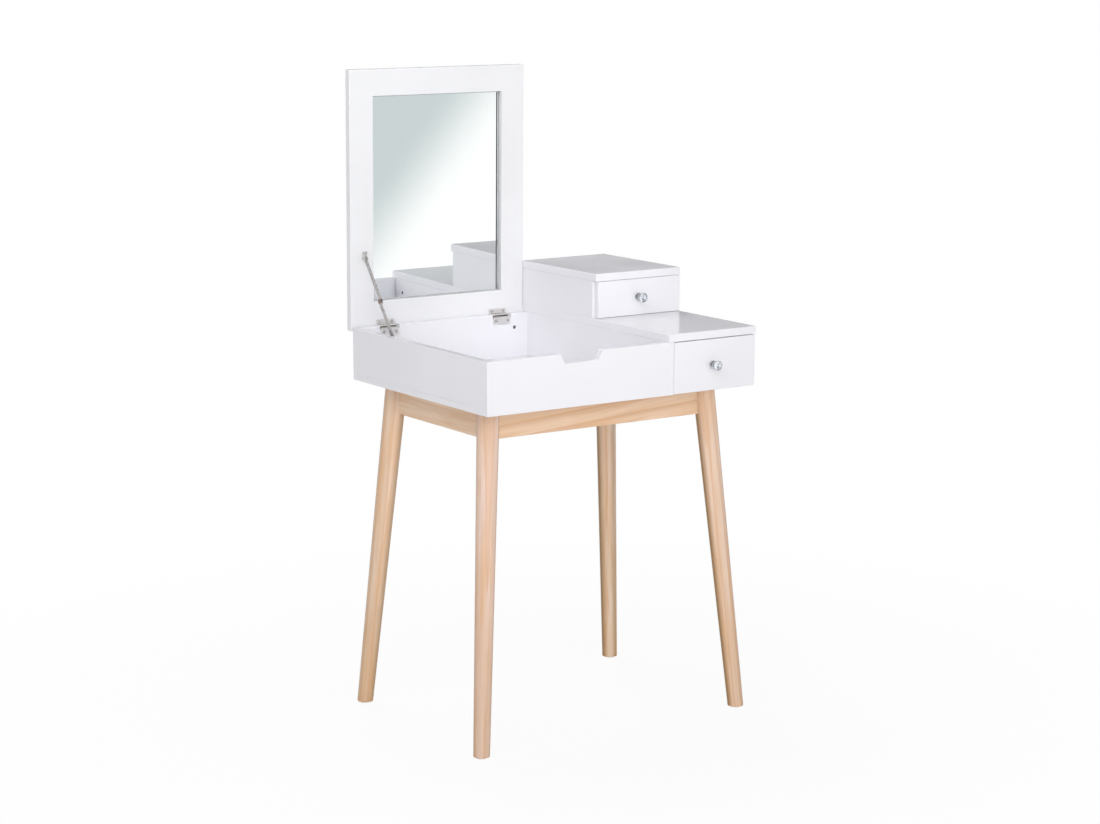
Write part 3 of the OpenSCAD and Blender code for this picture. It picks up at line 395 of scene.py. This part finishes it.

# %% [markdown]
# ## Metals
# The hinges are satin nickel, brushed along their length, with painted shade on the underside
# where the leaves roll round the pin. The stay's arms are a darker steel with a stained ring
# round the middle rivet, and its brackets are pressed steel that is dark at the rims. Screws
# and drawer slides are plated, greyer and mottled, and the dark rim round each screw head is
# painted shade of the gap it sits in. The connector screws are blackened, and the knob bases
# are chrome. Crevices in most of them get painted shade. All are fully metallic, so their look
# comes from what they reflect and from how rough they are. One function makes them all,
# because they differ only in tone, in gloss, in where they are stained and in where shade is
# painted.

# %% Metal finishes
# the first tone is painted shade, for crevices and under the hinge barrel, and the second a stain
# round the middle rivet; the last blur softens the edge of the painted shade
PAINTED_SHADE, RIVET_STAIN = (0.09, 0.08, 0.075, 1), (0.30, 0.19, 0.17, 1)
RIVET_SPOT, BARREL_REACH, SHADE_BLUR = 0.0062, 0.0042, 0.0006


def underside(tree, where, axis):
    """Masks the lower half of a barrel that runs along X through the axis, for painted shade."""
    across = add(tree, "ShaderNodeVectorMath", {1: (0, 1, 1)}, operation="MULTIPLY")
    join(tree, where, "Object", across, 0)
    near = add(tree, "ShaderNodeVectorMath", {1: (0, axis.y, axis.z)}, operation="DISTANCE")
    join(tree, across, 0, near, 0)
    height = add(tree, "ShaderNodeSeparateXYZ")
    join(tree, where, "Object", height, 0)
    below = remap(tree, height, "Z", axis.z + 0.0004, axis.z - SHADE_BLUR, 0.0, 0.95)
    at_barrel = remap(tree, near, "Value", BARREL_REACH, BARREL_REACH + SHADE_BLUR, 1.0, 0.0)
    mask = add(tree, "ShaderNodeMath", operation="MULTIPLY")
    join(tree, *below, mask, 0)
    join(tree, *at_barrel, mask, 1)
    return mask, 0


def metal(name, colour, dark, rough, spread, brush=None, mottle=60.0, depth=0.00002,
          reach=0.003, rim=None, rim_width=0.0005, spot=None, under=None):
    """A metal: two close tones, marked edges, a stained spot, and painted shade in crevices
    and under a barrel.

    rim is the tone of the edges, which are brighter than the rest without one. spot is a
    place, a radius and a tone, and under is the axis of a barrel whose lower half gets painted
    shade.
    """
    mat, tree, shader = new_material(name, Metallic=1.0)
    where = add(tree, "ShaderNodeTexCoord")
    way = add(tree, "ShaderNodeMapping", {"Scale": brush or (1, 1, 1)})
    join(tree, where, "Object", way, "Vector")
    marks = add(tree, "ShaderNodeTexNoise", {"Scale": mottle, "Detail": 4.0, "Roughness": 0.6})
    join(tree, way, 0, marks, "Vector")
    edges = place_group(tree, edge_group, Radius=rim_width, Sharpness=4.0)
    tone = mix_colour(tree, remap(tree, marks, 0, 0.3, 0.7, 0.0, 1.0), dark, colour)
    bright = mix_colour(tree, remap(tree, edges, "Mask", 0.0, 1.0, 0.0, 0.9 if rim else 0.5), tone,
                        rim or [min(1.0, c * 1.12) for c in colour[:3]] + [1.0])
    if reach:
        crevice = place_group(tree, crevice_group, Reach=reach)
        bright = mix_colour(tree, remap(tree, crevice, "Mask", 0.0, 1.0, 0.0, 0.85), bright, PAINTED_SHADE)
    if under:
        bright = mix_colour(tree, underside(tree, where, under), bright, PAINTED_SHADE)
    if spot:
        centre, radius, stain = spot
        near = add(tree, "ShaderNodeVectorMath", {1: centre}, operation="DISTANCE")
        join(tree, where, "Object", near, 0)
        stained = remap(tree, near, "Value", radius * 0.8, radius, 1.0, 0.0)
        bright = mix_colour(tree, stained, bright, stain)
    join(tree, *bright, shader, "Base Color")
    uneven = remap(tree, marks, 0, 0.3, 0.7, rough - spread, rough + spread)
    join(tree, *uneven, shader, "Roughness")
    bump = add(tree, "ShaderNodeBump", {"Strength": 0.3, "Distance": depth})
    join(tree, marks, 0, bump, "Height")
    join(tree, bump, 0, shader, "Normal")
    return mat


# %% Places of the hinge and the middle rivet
joints = {joint["name"]: joint for joint in frame["record"]["behaviour"]["joints"]}
lid_joint, upper_pivot = joints["lid_hinge"], joints["stay_upper_pivot"]
hinge_axis = Vector(lid_joint["pos_m"])
arm_low, arm_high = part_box("stay_upper_arm")
middle_rivet = [low + high - pivot
                for low, high, pivot in zip(arm_low, arm_high, upper_pivot["pos_m"])]
middle_rivet[0] = arm_low[0]
print("middle rivet at", [round(v, 4) for v in middle_rivet])

# %% Metals on their pieces
# the lower half of the hinge barrel gets painted shade
nickel = metal("satin_nickel", (0.89, 0.865, 0.835, 1), (0.80, 0.775, 0.75, 1), 0.34, 0.06,
               brush=(1, 12, 12), mottle=140.0, under=hinge_axis)
arm_steel = metal("stay_steel", (0.50, 0.48, 0.47, 1), (0.40, 0.385, 0.38, 1), 0.30, 0.06,
                  mottle=160.0, spot=(middle_rivet, RIVET_SPOT, RIVET_STAIN))
bracket_steel = metal("bracket_steel", (0.80, 0.78, 0.76, 1), (0.66, 0.64, 0.62, 1), 0.30, 0.06,
                      mottle=160.0, rim=(0.05, 0.045, 0.042, 1), rim_width=0.0014)
# the dark rim on these screw heads is painted shade of the gap round each head
screw_steel = metal("screw_steel", (0.90, 0.90, 0.90, 1), (0.80, 0.80, 0.80, 1), 0.30, 0.08,
                    mottle=420.0, reach=0.0018, rim=(0.05, 0.05, 0.05, 1), rim_width=0.0009)
zinc = metal("zinc_steel", (0.60, 0.61, 0.62, 1), (0.50, 0.51, 0.53, 1), 0.38, 0.08, mottle=420.0)
black_steel = metal("blackened_steel", (0.21, 0.21, 0.22, 1), (0.15, 0.15, 0.16, 1), 0.45, 0.08,
                    mottle=420.0)
chrome = metal("chrome", (0.56, 0.57, 0.58, 1), (0.50, 0.51, 0.52, 1), 0.07, 0.02, mottle=90.0,
               depth=0.000004, reach=0)
paint(nickel, "left_hinge_case_leaf", "right_hinge_case_leaf", "left_hinge_lid_leaf",
      "right_hinge_lid_leaf")
paint(bracket_steel, "stay_case_bracket", "stay_lid_bracket")
paint(arm_steel, "stay_lower_arm", "stay_upper_arm")
paint(screw_steel, "case_screws", "lid_screws")
paint(black_steel, "connector_screws")
paint(zinc, "leg_bolts", "frame_screws", "hinge_pins", "lower_drawer_rails", "upper_drawer_rails",
      "lower_drawer_runners", "upper_drawer_runners", "lower_knob_screw", "upper_knob_screw")
paint(chrome, "lower_knob_base", "upper_knob_base")

# %% [markdown]
# ## Small plastics
# The foot glides are moulded nylon and the strips behind the mirror are grey foam tape. Both
# are hardly seen, so they share a simple finish: one tone, clouded a little, and a fine even
# grain from the same group as the lacquer's skin.

# %% Nylon and tape
def moulded(name, colour, rough, scale, depth):
    """A moulded or foamed plastic with a fine even grain."""
    mat, tree, shader = new_material(name)
    where = add(tree, "ShaderNodeTexCoord")
    skin = place_group(tree, skin_group, Fine_scale=scale)
    join(tree, where, "Object", skin, "Vector")
    tone = mix_colour(tree, (skin, "Clouds"), [c * 0.9 for c in colour[:3]] + [1.0], colour)
    join(tree, *tone, shader, "Base Color")
    uneven = remap(tree, skin, "Clouds", 0.3, 0.7, rough - 0.08, rough + 0.08)
    join(tree, *uneven, shader, "Roughness")
    bump = add(tree, "ShaderNodeBump", {"Strength": 0.5, "Distance": depth})
    join(tree, skin, "Height", bump, "Height")
    join(tree, bump, 0, shader, "Normal")
    return mat


paint(moulded("nylon", (0.80, 0.78, 0.72, 1), 0.45, 1500.0, 0.00005), "foot_glides")
paint(moulded("foam_tape", (0.10, 0.10, 0.11, 1), 0.8, 2500.0, 0.0002), "mirror_tape")

# %% [markdown]
# ## Mirror
# The mirror is a pane of glass silvered on its back, with a small polished arris round its
# front edges that catches a bright line. Just inside its edge the silver ends in a thin grey
# line. Beside the right wall of the recess that line and a second one further in are painted
# shade of the wall. The CAD has it as a plain plate, so a new pane stands for it. It could be
# left clear with a silver sheet behind it, but a render then carries less light, so the pane
# itself is metallic, and its face lies where the silver seems to be through the glass. It is
# made lying under the closed lid, where it is square to the axes, and then turned about the
# hinge with the lid, because an object at the origin must carry its place in its mesh.

# %% Where the lid turns
opening = radians(lid_joint["range_deg"][1])
lid_turn = (Matrix.Translation(hinge_axis) @ Matrix.Rotation(-opening, 4, "X")
            @ Matrix.Translation(-hinge_axis))
print("lid opens", lid_joint["range_deg"][1], "degrees about", list(hinge_axis))

# %% Helpers for new pieces
def finish_piece(name, bm, body, slot, *mats, stands_for=()):
    """Turns a bmesh into a piece that rides on a body, with its materials."""
    bmesh.ops.recalc_face_normals(bm, faces=bm.faces)
    mesh = bpy.data.meshes.new(name)
    bm.to_mesh(mesh)
    bm.free()
    piece = bpy.data.objects.new(name, mesh)
    bpy.context.scene.collection.objects.link(piece)
    for mat in mats:
        mesh.materials.append(mat)
    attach(piece, body)
    if stands_for:
        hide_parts(*stands_for)
    print(name, len(mesh.polygons), "faces")


# %% Mirror materials
# seen through the glass, the silver on its back seems to lie SILVER_DEPTH behind the front
SILVER_DEPTH, ARRIS, BORDER, BORDER_BLUR = 0.0012, 0.0012, 0.0022, 0.0005
# the dark tone is painted shade of the recess's right wall, for both dark lines on the pane
WALL_SHADE, LINE_NEAR, LINE_FAR, LINE_BLUR = (0.02, 0.025, 0.03, 1), 0.0036, 0.0062, 0.0002


def mirror_finish():
    """Silvered glass: a faint green tint, soft wiping marks, a painted shade line at the right."""
    mat, tree, shader = new_material("mirror_silver", Metallic=1.0, IOR=1.5)
    where = add(tree, "ShaderNodeTexCoord")
    way = add(tree, "ShaderNodeMapping",
              {"Scale": (1.0, 1.0, 0.35), "Rotation": (0, radians(24), 0)})
    join(tree, where, "Object", way, "Vector")
    wipes = add(tree, "ShaderNodeTexNoise", {"Scale": 26.0, "Detail": 4.0, "Distortion": 0.4})
    join(tree, way, 0, wipes, "Vector")
    tone = mix_colour(tree, remap(tree, wipes, 0, 0.3, 0.7, 0.0, 1.0),
                      (0.905, 0.93, 0.925, 1), (0.925, 0.945, 0.94, 1))
    parts = add(tree, "ShaderNodeSeparateXYZ")
    join(tree, where, "Object", parts, 0)
    edge_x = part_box("mirror_glass")[1][0]
    starts, ends = edge_x - LINE_FAR, edge_x - LINE_NEAR
    line = add(tree, "ShaderNodeMath", operation="MULTIPLY")
    join(tree, *remap(tree, parts, "X", starts, starts + LINE_BLUR, 0.0, 1.0), line, 0)
    join(tree, *remap(tree, parts, "X", ends - LINE_BLUR, ends, 1.0, 0.0), line, 1)
    lined = mix_colour(tree, (line, 0), tone, WALL_SHADE)
    join(tree, *lined, shader, "Base Color")
    join(tree, *remap(tree, wipes, 0, 0.45, 0.8, 0.0, 0.03), shader, "Roughness")
    return mat


def glass_edge():
    """The ground edge of the pane, where the glass looks green."""
    mat, tree, shader = new_material("glass_edge", IOR=1.5)
    where = add(tree, "ShaderNodeTexCoord")
    skin = place_group(tree, skin_group, Fine_scale=2200.0)
    join(tree, where, "Object", skin, "Vector")
    tone = mix_colour(tree, (skin, "Clouds"), (0.20, 0.34, 0.31, 1), (0.38, 0.52, 0.49, 1))
    join(tree, *tone, shader, "Base Color")
    join(tree, *remap(tree, skin, "Height", 0.3, 0.7, 0.12, 0.3), shader, "Roughness")
    return mat


def border_paint():
    """The thin line where the silver ends: grey, and in shadow beside the right wall."""
    mat, tree, shader = new_material("mirror_border", IOR=1.5)
    where = add(tree, "ShaderNodeTexCoord")
    skin = place_group(tree, skin_group, Fine_scale=1800.0)
    join(tree, where, "Object", skin, "Vector")
    tone = mix_colour(tree, (skin, "Height"), (0.64, 0.67, 0.68, 1), (0.74, 0.77, 0.78, 1))
    parts = add(tree, "ShaderNodeSeparateXYZ")
    join(tree, where, "Object", parts, 0)
    inner_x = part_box("mirror_glass")[1][0] - 1.5 * BORDER
    at_wall = remap(tree, parts, "X", inner_x, inner_x + BORDER_BLUR, 0.0, 1.0)
    shaded = mix_colour(tree, at_wall, tone, WALL_SHADE)
    join(tree, *shaded, shader, "Base Color")
    join(tree, *remap(tree, skin, "Clouds", 0.3, 0.7, 0.15, 0.3), shader, "Roughness")
    return mat


pane_finishes = mirror_finish(), glass_edge(), border_paint()
print("the pane's finishes:", [mat.name for mat in pane_finishes])

# %% Mirror pane
SILVER, EDGE, LINE = range(3)
to_closed = lid_turn.inverted() @ nodes["mirror_glass"].matrix_world
plate = [to_closed @ v.co for v in nodes["mirror_glass"].data.vertices]
low = Vector(min(v[i] for v in plate) for i in range(3))
high = Vector(max(v[i] for v in plate) for i in range(3))
low.z += SILVER_DEPTH
pane_size = high - low
bm = bmesh.new()
middle = (low + high) / 2
bmesh.ops.create_cube(bm, size=1.0,
                      matrix=Matrix.Translation(middle) @ Matrix.Diagonal(pane_size.to_4d()))
front_rim = [e for e in bm.edges if all(v.co.z < middle.z for v in e.verts)]
bmesh.ops.bevel(bm, geom=front_rim, offset=ARRIS, segments=2, affect="EDGES", profile=0.5,
                material=-1)
for face in bm.faces:
    face.material_index = SILVER if abs(face.normal.z) > 0.3 else EDGE
silver = [f for f in bm.faces if f.normal.z < -0.9]
for face in bmesh.ops.inset_region(bm, faces=silver, thickness=BORDER)["faces"]:
    face.material_index = LINE
bmesh.ops.transform(bm, matrix=lid_turn, verts=bm.verts)
finish_piece("mirror_pane", bm, "lid", "mirror", *pane_finishes, stands_for=("mirror_glass",))
print("mirror pane", [round(s * 1000, 1) for s in pane_size], "mm")

# %% [markdown]
# ## Cut knobs
# Each knob is a piece of clear cut glass in a chrome cup. What makes it read as crystal are
# its facets: a small table at the front, a crown of kites, a girdle and a lower cone, all
# meeting at crisp edges. They could be cut one by one from a ball with bisect_plane, but a
# convex hull over a few rings of points gives the same in one step, and a tiny bevel turns
# each edge into a bright line. Behind the stem sits a foil that throws the light back, as on
# real glass knobs. The cut is a little smaller than the CAD's crystal, as in the photo.

# %% Crystal and foil materials
def crystal_finish():
    """Clear cut glass with a barely cool tint and faint polishing marks."""
    mat, tree, shader = new_material("cut_crystal", IOR=1.54, Transmission_Weight=1.0)
    where = add(tree, "ShaderNodeTexCoord")
    marks = add(tree, "ShaderNodeTexNoise", {"Scale": 900.0, "Detail": 2.0})
    join(tree, where, "Object", marks, "Vector")
    tone = mix_colour(tree, (marks, 0), (0.93, 0.955, 0.985, 1), (0.975, 0.985, 1.0, 1))
    join(tree, *tone, shader, "Base Color")
    join(tree, *remap(tree, marks, 0, 0.5, 0.8, 0.0, 0.04), shader, "Roughness")
    return mat


foil = metal("knob_foil", (0.95, 0.96, 0.97, 1), (0.82, 0.84, 0.87, 1), 0.16, 0.05,
             mottle=500.0, reach=0)
cut_crystal = crystal_finish()
print("the knobs' finishes:", cut_crystal.name, "and", foil.name)

# %% Crystals
# from the back to the front: share of the length, share of the radius, points, turn in points
CUT_RINGS = [(0.0, 0.56, 8, 0.0), (0.14, 0.74, 8, 0.0), (0.34, 0.97, 16, 0.0),
             (0.46, 1.0, 16, 0.5), (0.60, 0.975, 16, 0.0), (0.80, 0.80, 8, 0.5),
             (1.0, 0.50, 8, 0.0)]
CUP_DEPTH, LIP, STEM_RADIUS, STEM_POINTS = 0.003, 0.0005, 0.00616, 32
CUT_SHARE, FACET_EDGE, FOIL_GAP = 0.86, 0.00012, 0.0002
GLASS, FOIL = range(2)


def ring_points(bm, y, radius, count, turn, centre):
    """One ring of points round the knob's axis, which runs along Y."""
    made = bmesh.ops.create_circle(bm, segments=count, radius=radius)["verts"]
    spin = Matrix.Rotation(radians(90), 4, "X") @ Matrix.Rotation(2 * pi / count * turn, 4, "Z")
    bmesh.ops.transform(bm, matrix=Matrix.Translation((centre.x, y, centre.z)) @ spin, verts=made)
    return made


def cut_knob(where, body):
    """The crystal of one knob, placed by the CAD crystal's box, and the foil behind it."""
    low, high = (Vector(c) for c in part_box(f"{where}_knob_crystal"))
    centre, radius = (low + high) / 2, (high.z - low.z) / 2 * CUT_SHARE
    base_y = high.y - CUP_DEPTH - LIP
    length = (base_y - low.y) * CUT_SHARE
    bm = bmesh.new()
    for share, wide, count, turn in CUT_RINGS:
        ring_points(bm, base_y - share * length, wide * radius, count, turn, centre)
    bmesh.ops.convex_hull(bm, input=bm.verts)
    bmesh.ops.delete(bm, geom=[e for e in bm.edges if not e.link_faces], context="EDGES")
    bmesh.ops.dissolve_limit(bm, angle_limit=radians(1), verts=bm.verts, edges=bm.edges)
    bmesh.ops.bevel(bm, geom=bm.edges[:], offset=FACET_EDGE, segments=1, affect="EDGES",
                    profile=0.5, material=-1)
    for face in bm.faces:
        face.material_index = FOIL if face.normal.y > 0.9 else GLASS
    stem = ring_points(bm, base_y + CUP_DEPTH + LIP, STEM_RADIUS, STEM_POINTS, 0, centre)
    rim = ring_points(bm, base_y - FOIL_GAP, STEM_RADIUS, STEM_POINTS, 0, centre)
    rings = list({e for v in stem + rim for e in v.link_edges})
    backed = bmesh.ops.bridge_loops(bm, edges=rings)["faces"]
    backed += bmesh.ops.contextual_create(bm, geom=stem)["faces"]
    backed += bmesh.ops.contextual_create(bm, geom=rim)["faces"]
    for face in backed:
        face.material_index = FOIL
    finish_piece(f"{where}_cut_crystal", bm, body, "crystal", cut_crystal, foil,
                 stands_for=(f"{where}_knob_crystal",))


for where in ("lower", "upper"):
    cut_knob(where, f"{where}_drawer")

# %% [markdown]
# ## Studio
# The photo is a catalogue picture with white surroundings. One white world would light it,
# but then metal would mirror nothing but white and the crystals would vanish. So each kind
# of ray is shown its own surroundings, as a photographer stands black and white cards round
# polished things: soft light comes from a pale band above the horizon, glossy faces mirror
# grey walls and a bright ceiling, the crystals show light with dark patches, and the camera
# sees plain white.

# %% World: the light of the room
world = bpy.data.worlds.new("studio")
bpy.context.scene.world = world
world.use_nodes = True
tree = world.node_tree
tree.nodes.clear()
way = add(tree, "ShaderNodeTexCoord")
parts = add(tree, "ShaderNodeSeparateXYZ")
join(tree, way, "Generated", parts, 0)


def surroundings(tree, colour):
    """One set of surroundings, from the node and the output that give its colour."""
    n = add(tree, "ShaderNodeBackground", {"Strength": 1.0})
    join(tree, *colour, n, "Color")
    return n


WHITE, BLACK, BAND_TOP = (1, 1, 1, 1), (0, 0, 0, 1), 0.35
fading_up = remap(tree, parts, "Z", 0.0, BAND_TOP, 0.0, 1.0)
room = surroundings(tree, mix_colour(tree, fading_up, (0.79, 0.79, 0.80, 1), BLACK))
print("the pale band fades out at", BAND_TOP, "of the way up")

# %% World: what glossy faces mirror
backwards = remap(tree, parts, "Y", -0.2, 0.2, 0.0, 1.0)
far_wall = mix_colour(tree, backwards, (0.04, 0.04, 0.045, 1), (0.19, 0.19, 0.20, 1))
off_horizon = remap(tree, parts, "Z", 0.0, 0.04, 0.0, 1.0)
low_band = mix_colour(tree, off_horizon, WHITE, far_wall)
forwards = remap(tree, parts, "Y", 0.1, -0.2, 0.0, 1.0)
ceiling = mix_colour(tree, forwards, (0.16, 0.16, 0.17, 1), WHITE)
upwards = remap(tree, parts, "Z", 0.30, 0.45, 0.0, 1.0)
walls = surroundings(tree, mix_colour(tree, upwards, low_band, ceiling))
print("glossy faces mirror walls under a bright front ceiling")

# %% World: what shows through the crystals
spots = add(tree, "ShaderNodeTexNoise", {"Scale": 2.6, "Detail": 1.0})
join(tree, way, "Generated", spots, "Vector")
in_spots = remap(tree, spots, 0, 0.57, 0.60, 0.0, 1.0)
sparkle = mix_colour(tree, in_spots, (1.1, 1.12, 1.16, 1), (0.08, 0.09, 0.11, 1))
through_glass = surroundings(tree, sparkle)
print("the crystals show light with dark patches")

# %% World: which ray sees what
white = add(tree, "ShaderNodeBackground", {"Color": WHITE, "Strength": 1.0})
rays = add(tree, "ShaderNodeLightPath")
shown = room
for ray, sight in (("Is Glossy Ray", walls), ("Is Transmission Ray", through_glass),
                   ("Is Camera Ray", white)):
    choice = add(tree, "ShaderNodeMixShader")
    join(tree, rays, ray, choice, 0)
    join(tree, shown, 0, choice, 1)
    join(tree, sight, 0, choice, 2)
    shown = choice
join(tree, shown, 0, add(tree, "ShaderNodeOutputWorld"), 0)
print("world:", len(tree.nodes), "nodes")

# %% [markdown]
# ## Floor
# In the photo the floor is as white as the paper, with only a breath of shadow at the feet. A
# plain white plane would come out grey, and no floor would leave the legs hanging. So the
# floor mixes a matt white with a glow. The camera sees almost only the glow near the table,
# and further off nothing else. For soft light the glow counts for less, so that the floor
# lights the undersides gently.

# %% Floor finish
GLOW_NEAR, NEAR, FAR, GLOW_FOR_SOFT_LIGHT = 0.93, 0.4, 1.6, 0.35
floor_mat = bpy.data.materials.new("studio_floor")
floor_mat.use_nodes = True
tree = floor_mat.node_tree
tree.nodes.clear()
matt = add(tree, "ShaderNodeBsdfDiffuse", {"Color": (0.82, 0.82, 0.83, 1)})
glow = add(tree, "ShaderNodeEmission", {"Color": (1, 1, 1, 1), "Strength": 1.0})
where = add(tree, "ShaderNodeTexCoord")
far = add(tree, "ShaderNodeVectorMath", operation="LENGTH")
join(tree, where, "Object", far, 0)
glow_share = remap(tree, far, "Value", NEAR, FAR, GLOW_NEAR, 1.0)
rays = add(tree, "ShaderNodeLightPath")
seen = add(tree, "ShaderNodeMath", operation="MAXIMUM")
join(tree, rays, "Is Camera Ray", seen, 0)
join(tree, rays, "Is Glossy Ray", seen, 1)
through = add(tree, "ShaderNodeMath", operation="MAXIMUM")
join(tree, seen, 0, through, 0)
join(tree, rays, "Is Transmission Ray", through, 1)
directly = add(tree, "ShaderNodeMath", operation="MULTIPLY")
join(tree, *glow_share, directly, 0)
join(tree, through, 0, directly, 1)
share = add(tree, "ShaderNodeMath", operation="MAXIMUM")
join(tree, directly, 0, share, 0)
join(tree, *remap(tree, rays, "Is Diffuse Ray", 0.0, 1.0, 0.0, GLOW_FOR_SOFT_LIGHT), share, 1)
blend = add(tree, "ShaderNodeMixShader")
join(tree, share, 0, blend, 0)
join(tree, matt, 0, blend, 1)
join(tree, glow, 0, blend, 2)
join(tree, blend, 0, add(tree, "ShaderNodeOutputMaterial"), 0)
print("studio_floor:", len(tree.nodes), "nodes")

# %% Floor
bm = bmesh.new()
bmesh.ops.create_grid(bm, x_segments=4, y_segments=4, size=30.0)
mesh = bpy.data.meshes.new("floor")
bm.to_mesh(mesh)
bm.free()
mesh.materials.append(floor_mat)
floor = bpy.data.objects.new("floor", mesh)
bpy.context.scene.collection.objects.link(floor)
print("floor laid")

# %% [markdown]
# ## Lamps
# The fronts are brightest in the photo, the left sides a little less and the tops greyest, so
# most of the light comes from large softboxes at the front and to the left, with weaker ones
# above, behind and to the right. A sun would be simpler, but its shadows would be hard. Two
# small narrow lamps fill the open compartment and the upper box's side, which the others
# reach too little. None of the lamps shows in a reflection; that is the world's task.

# %% Lamps
def softbox(name, place, target, size, power):
    """A rectangular lamp that points at a target."""
    light = bpy.data.lights.new(name, "AREA")
    light.shape, light.size, light.size_y = "RECTANGLE", size[0], size[1]
    light.energy = power
    lamp = bpy.data.objects.new(name, light)
    aim = (Vector(target) - Vector(place)).to_track_quat("-Z", "Y")
    lamp.matrix_world = Matrix.Translation(place) @ aim.to_matrix().to_4x4()
    lamp.visible_glossy = lamp.visible_camera = lamp.visible_transmission = False
    bpy.context.scene.collection.objects.link(lamp)
    return lamp


AIM = (0, 0, 0.7)
softbox("front_softbox", (0.9, -3.6, 1.5), AIM, (2.6, 2.0), 25)
softbox("camera_softbox", (-1.9, -3.4, 1.9), AIM, (2.2, 1.8), 47)
softbox("over_front_softbox", (-0.3, -1.6, 3.2), AIM, (2.4, 2.0), 16)
softbox("over_left_softbox", (-2.2, -1.2, 2.9), AIM, (2.0, 2.0), 38)
softbox("top_softbox", (0.0, 1.3, 3.0), AIM, (1.4, 1.4), 32)
tray_fill = softbox("tray_fill", (-0.9, -1.3, 2.1), (0.0, 0.1, 0.68), (0.3, 0.3), 0.06)
tray_fill.data.spread = radians(17)
box_fill = softbox("box_fill", (0.3, -1.6, 1.15), (0.13, -0.05, 0.87), (0.2, 0.2), 0.018)
box_fill.data.spread = radians(15)
softbox("right_softbox", (3.2, 0.7, 1.3), AIM, (2.0, 1.6), 16)
softbox("rear_softbox", (0.4, 3.0, 2.4), AIM, (2.4, 2.0), 25)

# %% [markdown]
# ## What the mirror sees
# A mirror only looks like a mirror when it has something to show. In the photo it shows a
# pale grey studio wall that fades to white towards the lower right. A card with that fade
# stands to the right of the camera; only reflections see it, so it lights nothing. A second
# card, a tall bright strip to the left, gives the metal and the crystals their highlights.
# Real studios do the same with white boards and strip lights.

# %% Helper for cards
def studio_card(name, middle, size):
    """A card that only reflections see. Hands back its node tree, ready for a colour."""
    mat = bpy.data.materials.new(name)
    mat.use_nodes = True
    mat.node_tree.nodes.clear()
    bm = bmesh.new()
    upright = Matrix.Rotation(radians(90), 4, "X") @ Matrix.Diagonal((*size, 1, 1))
    bmesh.ops.create_grid(bm, x_segments=1, y_segments=1, size=0.5,
                          matrix=Matrix.Translation(middle) @ upright)
    mesh = bpy.data.meshes.new(name)
    bm.to_mesh(mesh)
    bm.free()
    mesh.materials.append(mat)
    card = bpy.data.objects.new(name, mesh)
    bpy.context.scene.collection.objects.link(card)
    for ray in ("camera", "diffuse", "shadow", "transmission", "volume_scatter"):
        setattr(card, f"visible_{ray}", False)
    print(name, "stands at", middle)
    return mat.node_tree


# %% Card for the mirror
# the fade runs from the first to the second value along X, and down along Z
FADE = {"X": (1.049, 1.490), "Z": (1.02, 0.492)}
tree = studio_card("mirror_card", (1.3, -2.0, 0.52), (1.3, 1.05))
where = add(tree, "ShaderNodeTexCoord")
parts = add(tree, "ShaderNodeSeparateXYZ")
join(tree, where, "Object", parts, 0)
diagonal = add(tree, "ShaderNodeMath", operation="ADD")
for into, (axis, (begin, end)) in enumerate(FADE.items()):
    along = add(tree, "ShaderNodeMapRange", {1: begin, 2: end, 3: 0.0, 4: 1.0}, clamp=False)
    join(tree, parts, axis, along, 0)
    join(tree, along, 0, diagonal, into)
fade = add(tree, "ShaderNodeMapRange", {1: 0.63, 2: 1.34, 3: 0.0, 4: 1.0},
           interpolation_type="SMOOTHSTEP")
join(tree, diagonal, 0, fade, 0)
wall_tone = mix_colour(tree, (fade, 0), (0.645, 0.700, 0.708, 1), (1.10, 1.10, 1.10, 1))
card_glow = add(tree, "ShaderNodeEmission", {"Strength": 1.0})
join(tree, *wall_tone, card_glow, "Color")
join(tree, card_glow, 0, add(tree, "ShaderNodeOutputMaterial"), 0)

# %% Strip for the highlights
tree = studio_card("highlight_strip", (-0.35, -3.6, 1.3), (0.9, 2.4))
strip_glow = add(tree, "ShaderNodeEmission", {"Color": (1, 1, 1, 1), "Strength": 6.0})
join(tree, strip_glow, 0, add(tree, "ShaderNodeOutputMaterial"), 0)

# %% [markdown]
# ## Camera
# Place, direction and lens were solved from the photo's straight edges, because a camera set
# by eye never makes all the corners fall where they do in the photo. The Standard view keeps
# whites white, where a filmic one would turn them grey.

# %% Camera
PLACE, YAW, TILT, LENS = (-2.7307, -4.0825, 1.4815), 33.74, 10.39, 85.30
camera_data = bpy.data.cameras.new("camera")
camera_data.sensor_fit, camera_data.sensor_width, camera_data.lens = "HORIZONTAL", 36.0, LENS
camera_data.clip_end = 200.0
camera = bpy.data.objects.new("camera", camera_data)
camera.location = PLACE
camera.rotation_euler = (radians(90 - TILT), 0, radians(-YAW))
bpy.context.scene.collection.objects.link(camera)
bpy.context.scene.camera = camera
bpy.context.scene.view_settings.view_transform = "Standard"
print("camera lens", LENS, "mm")
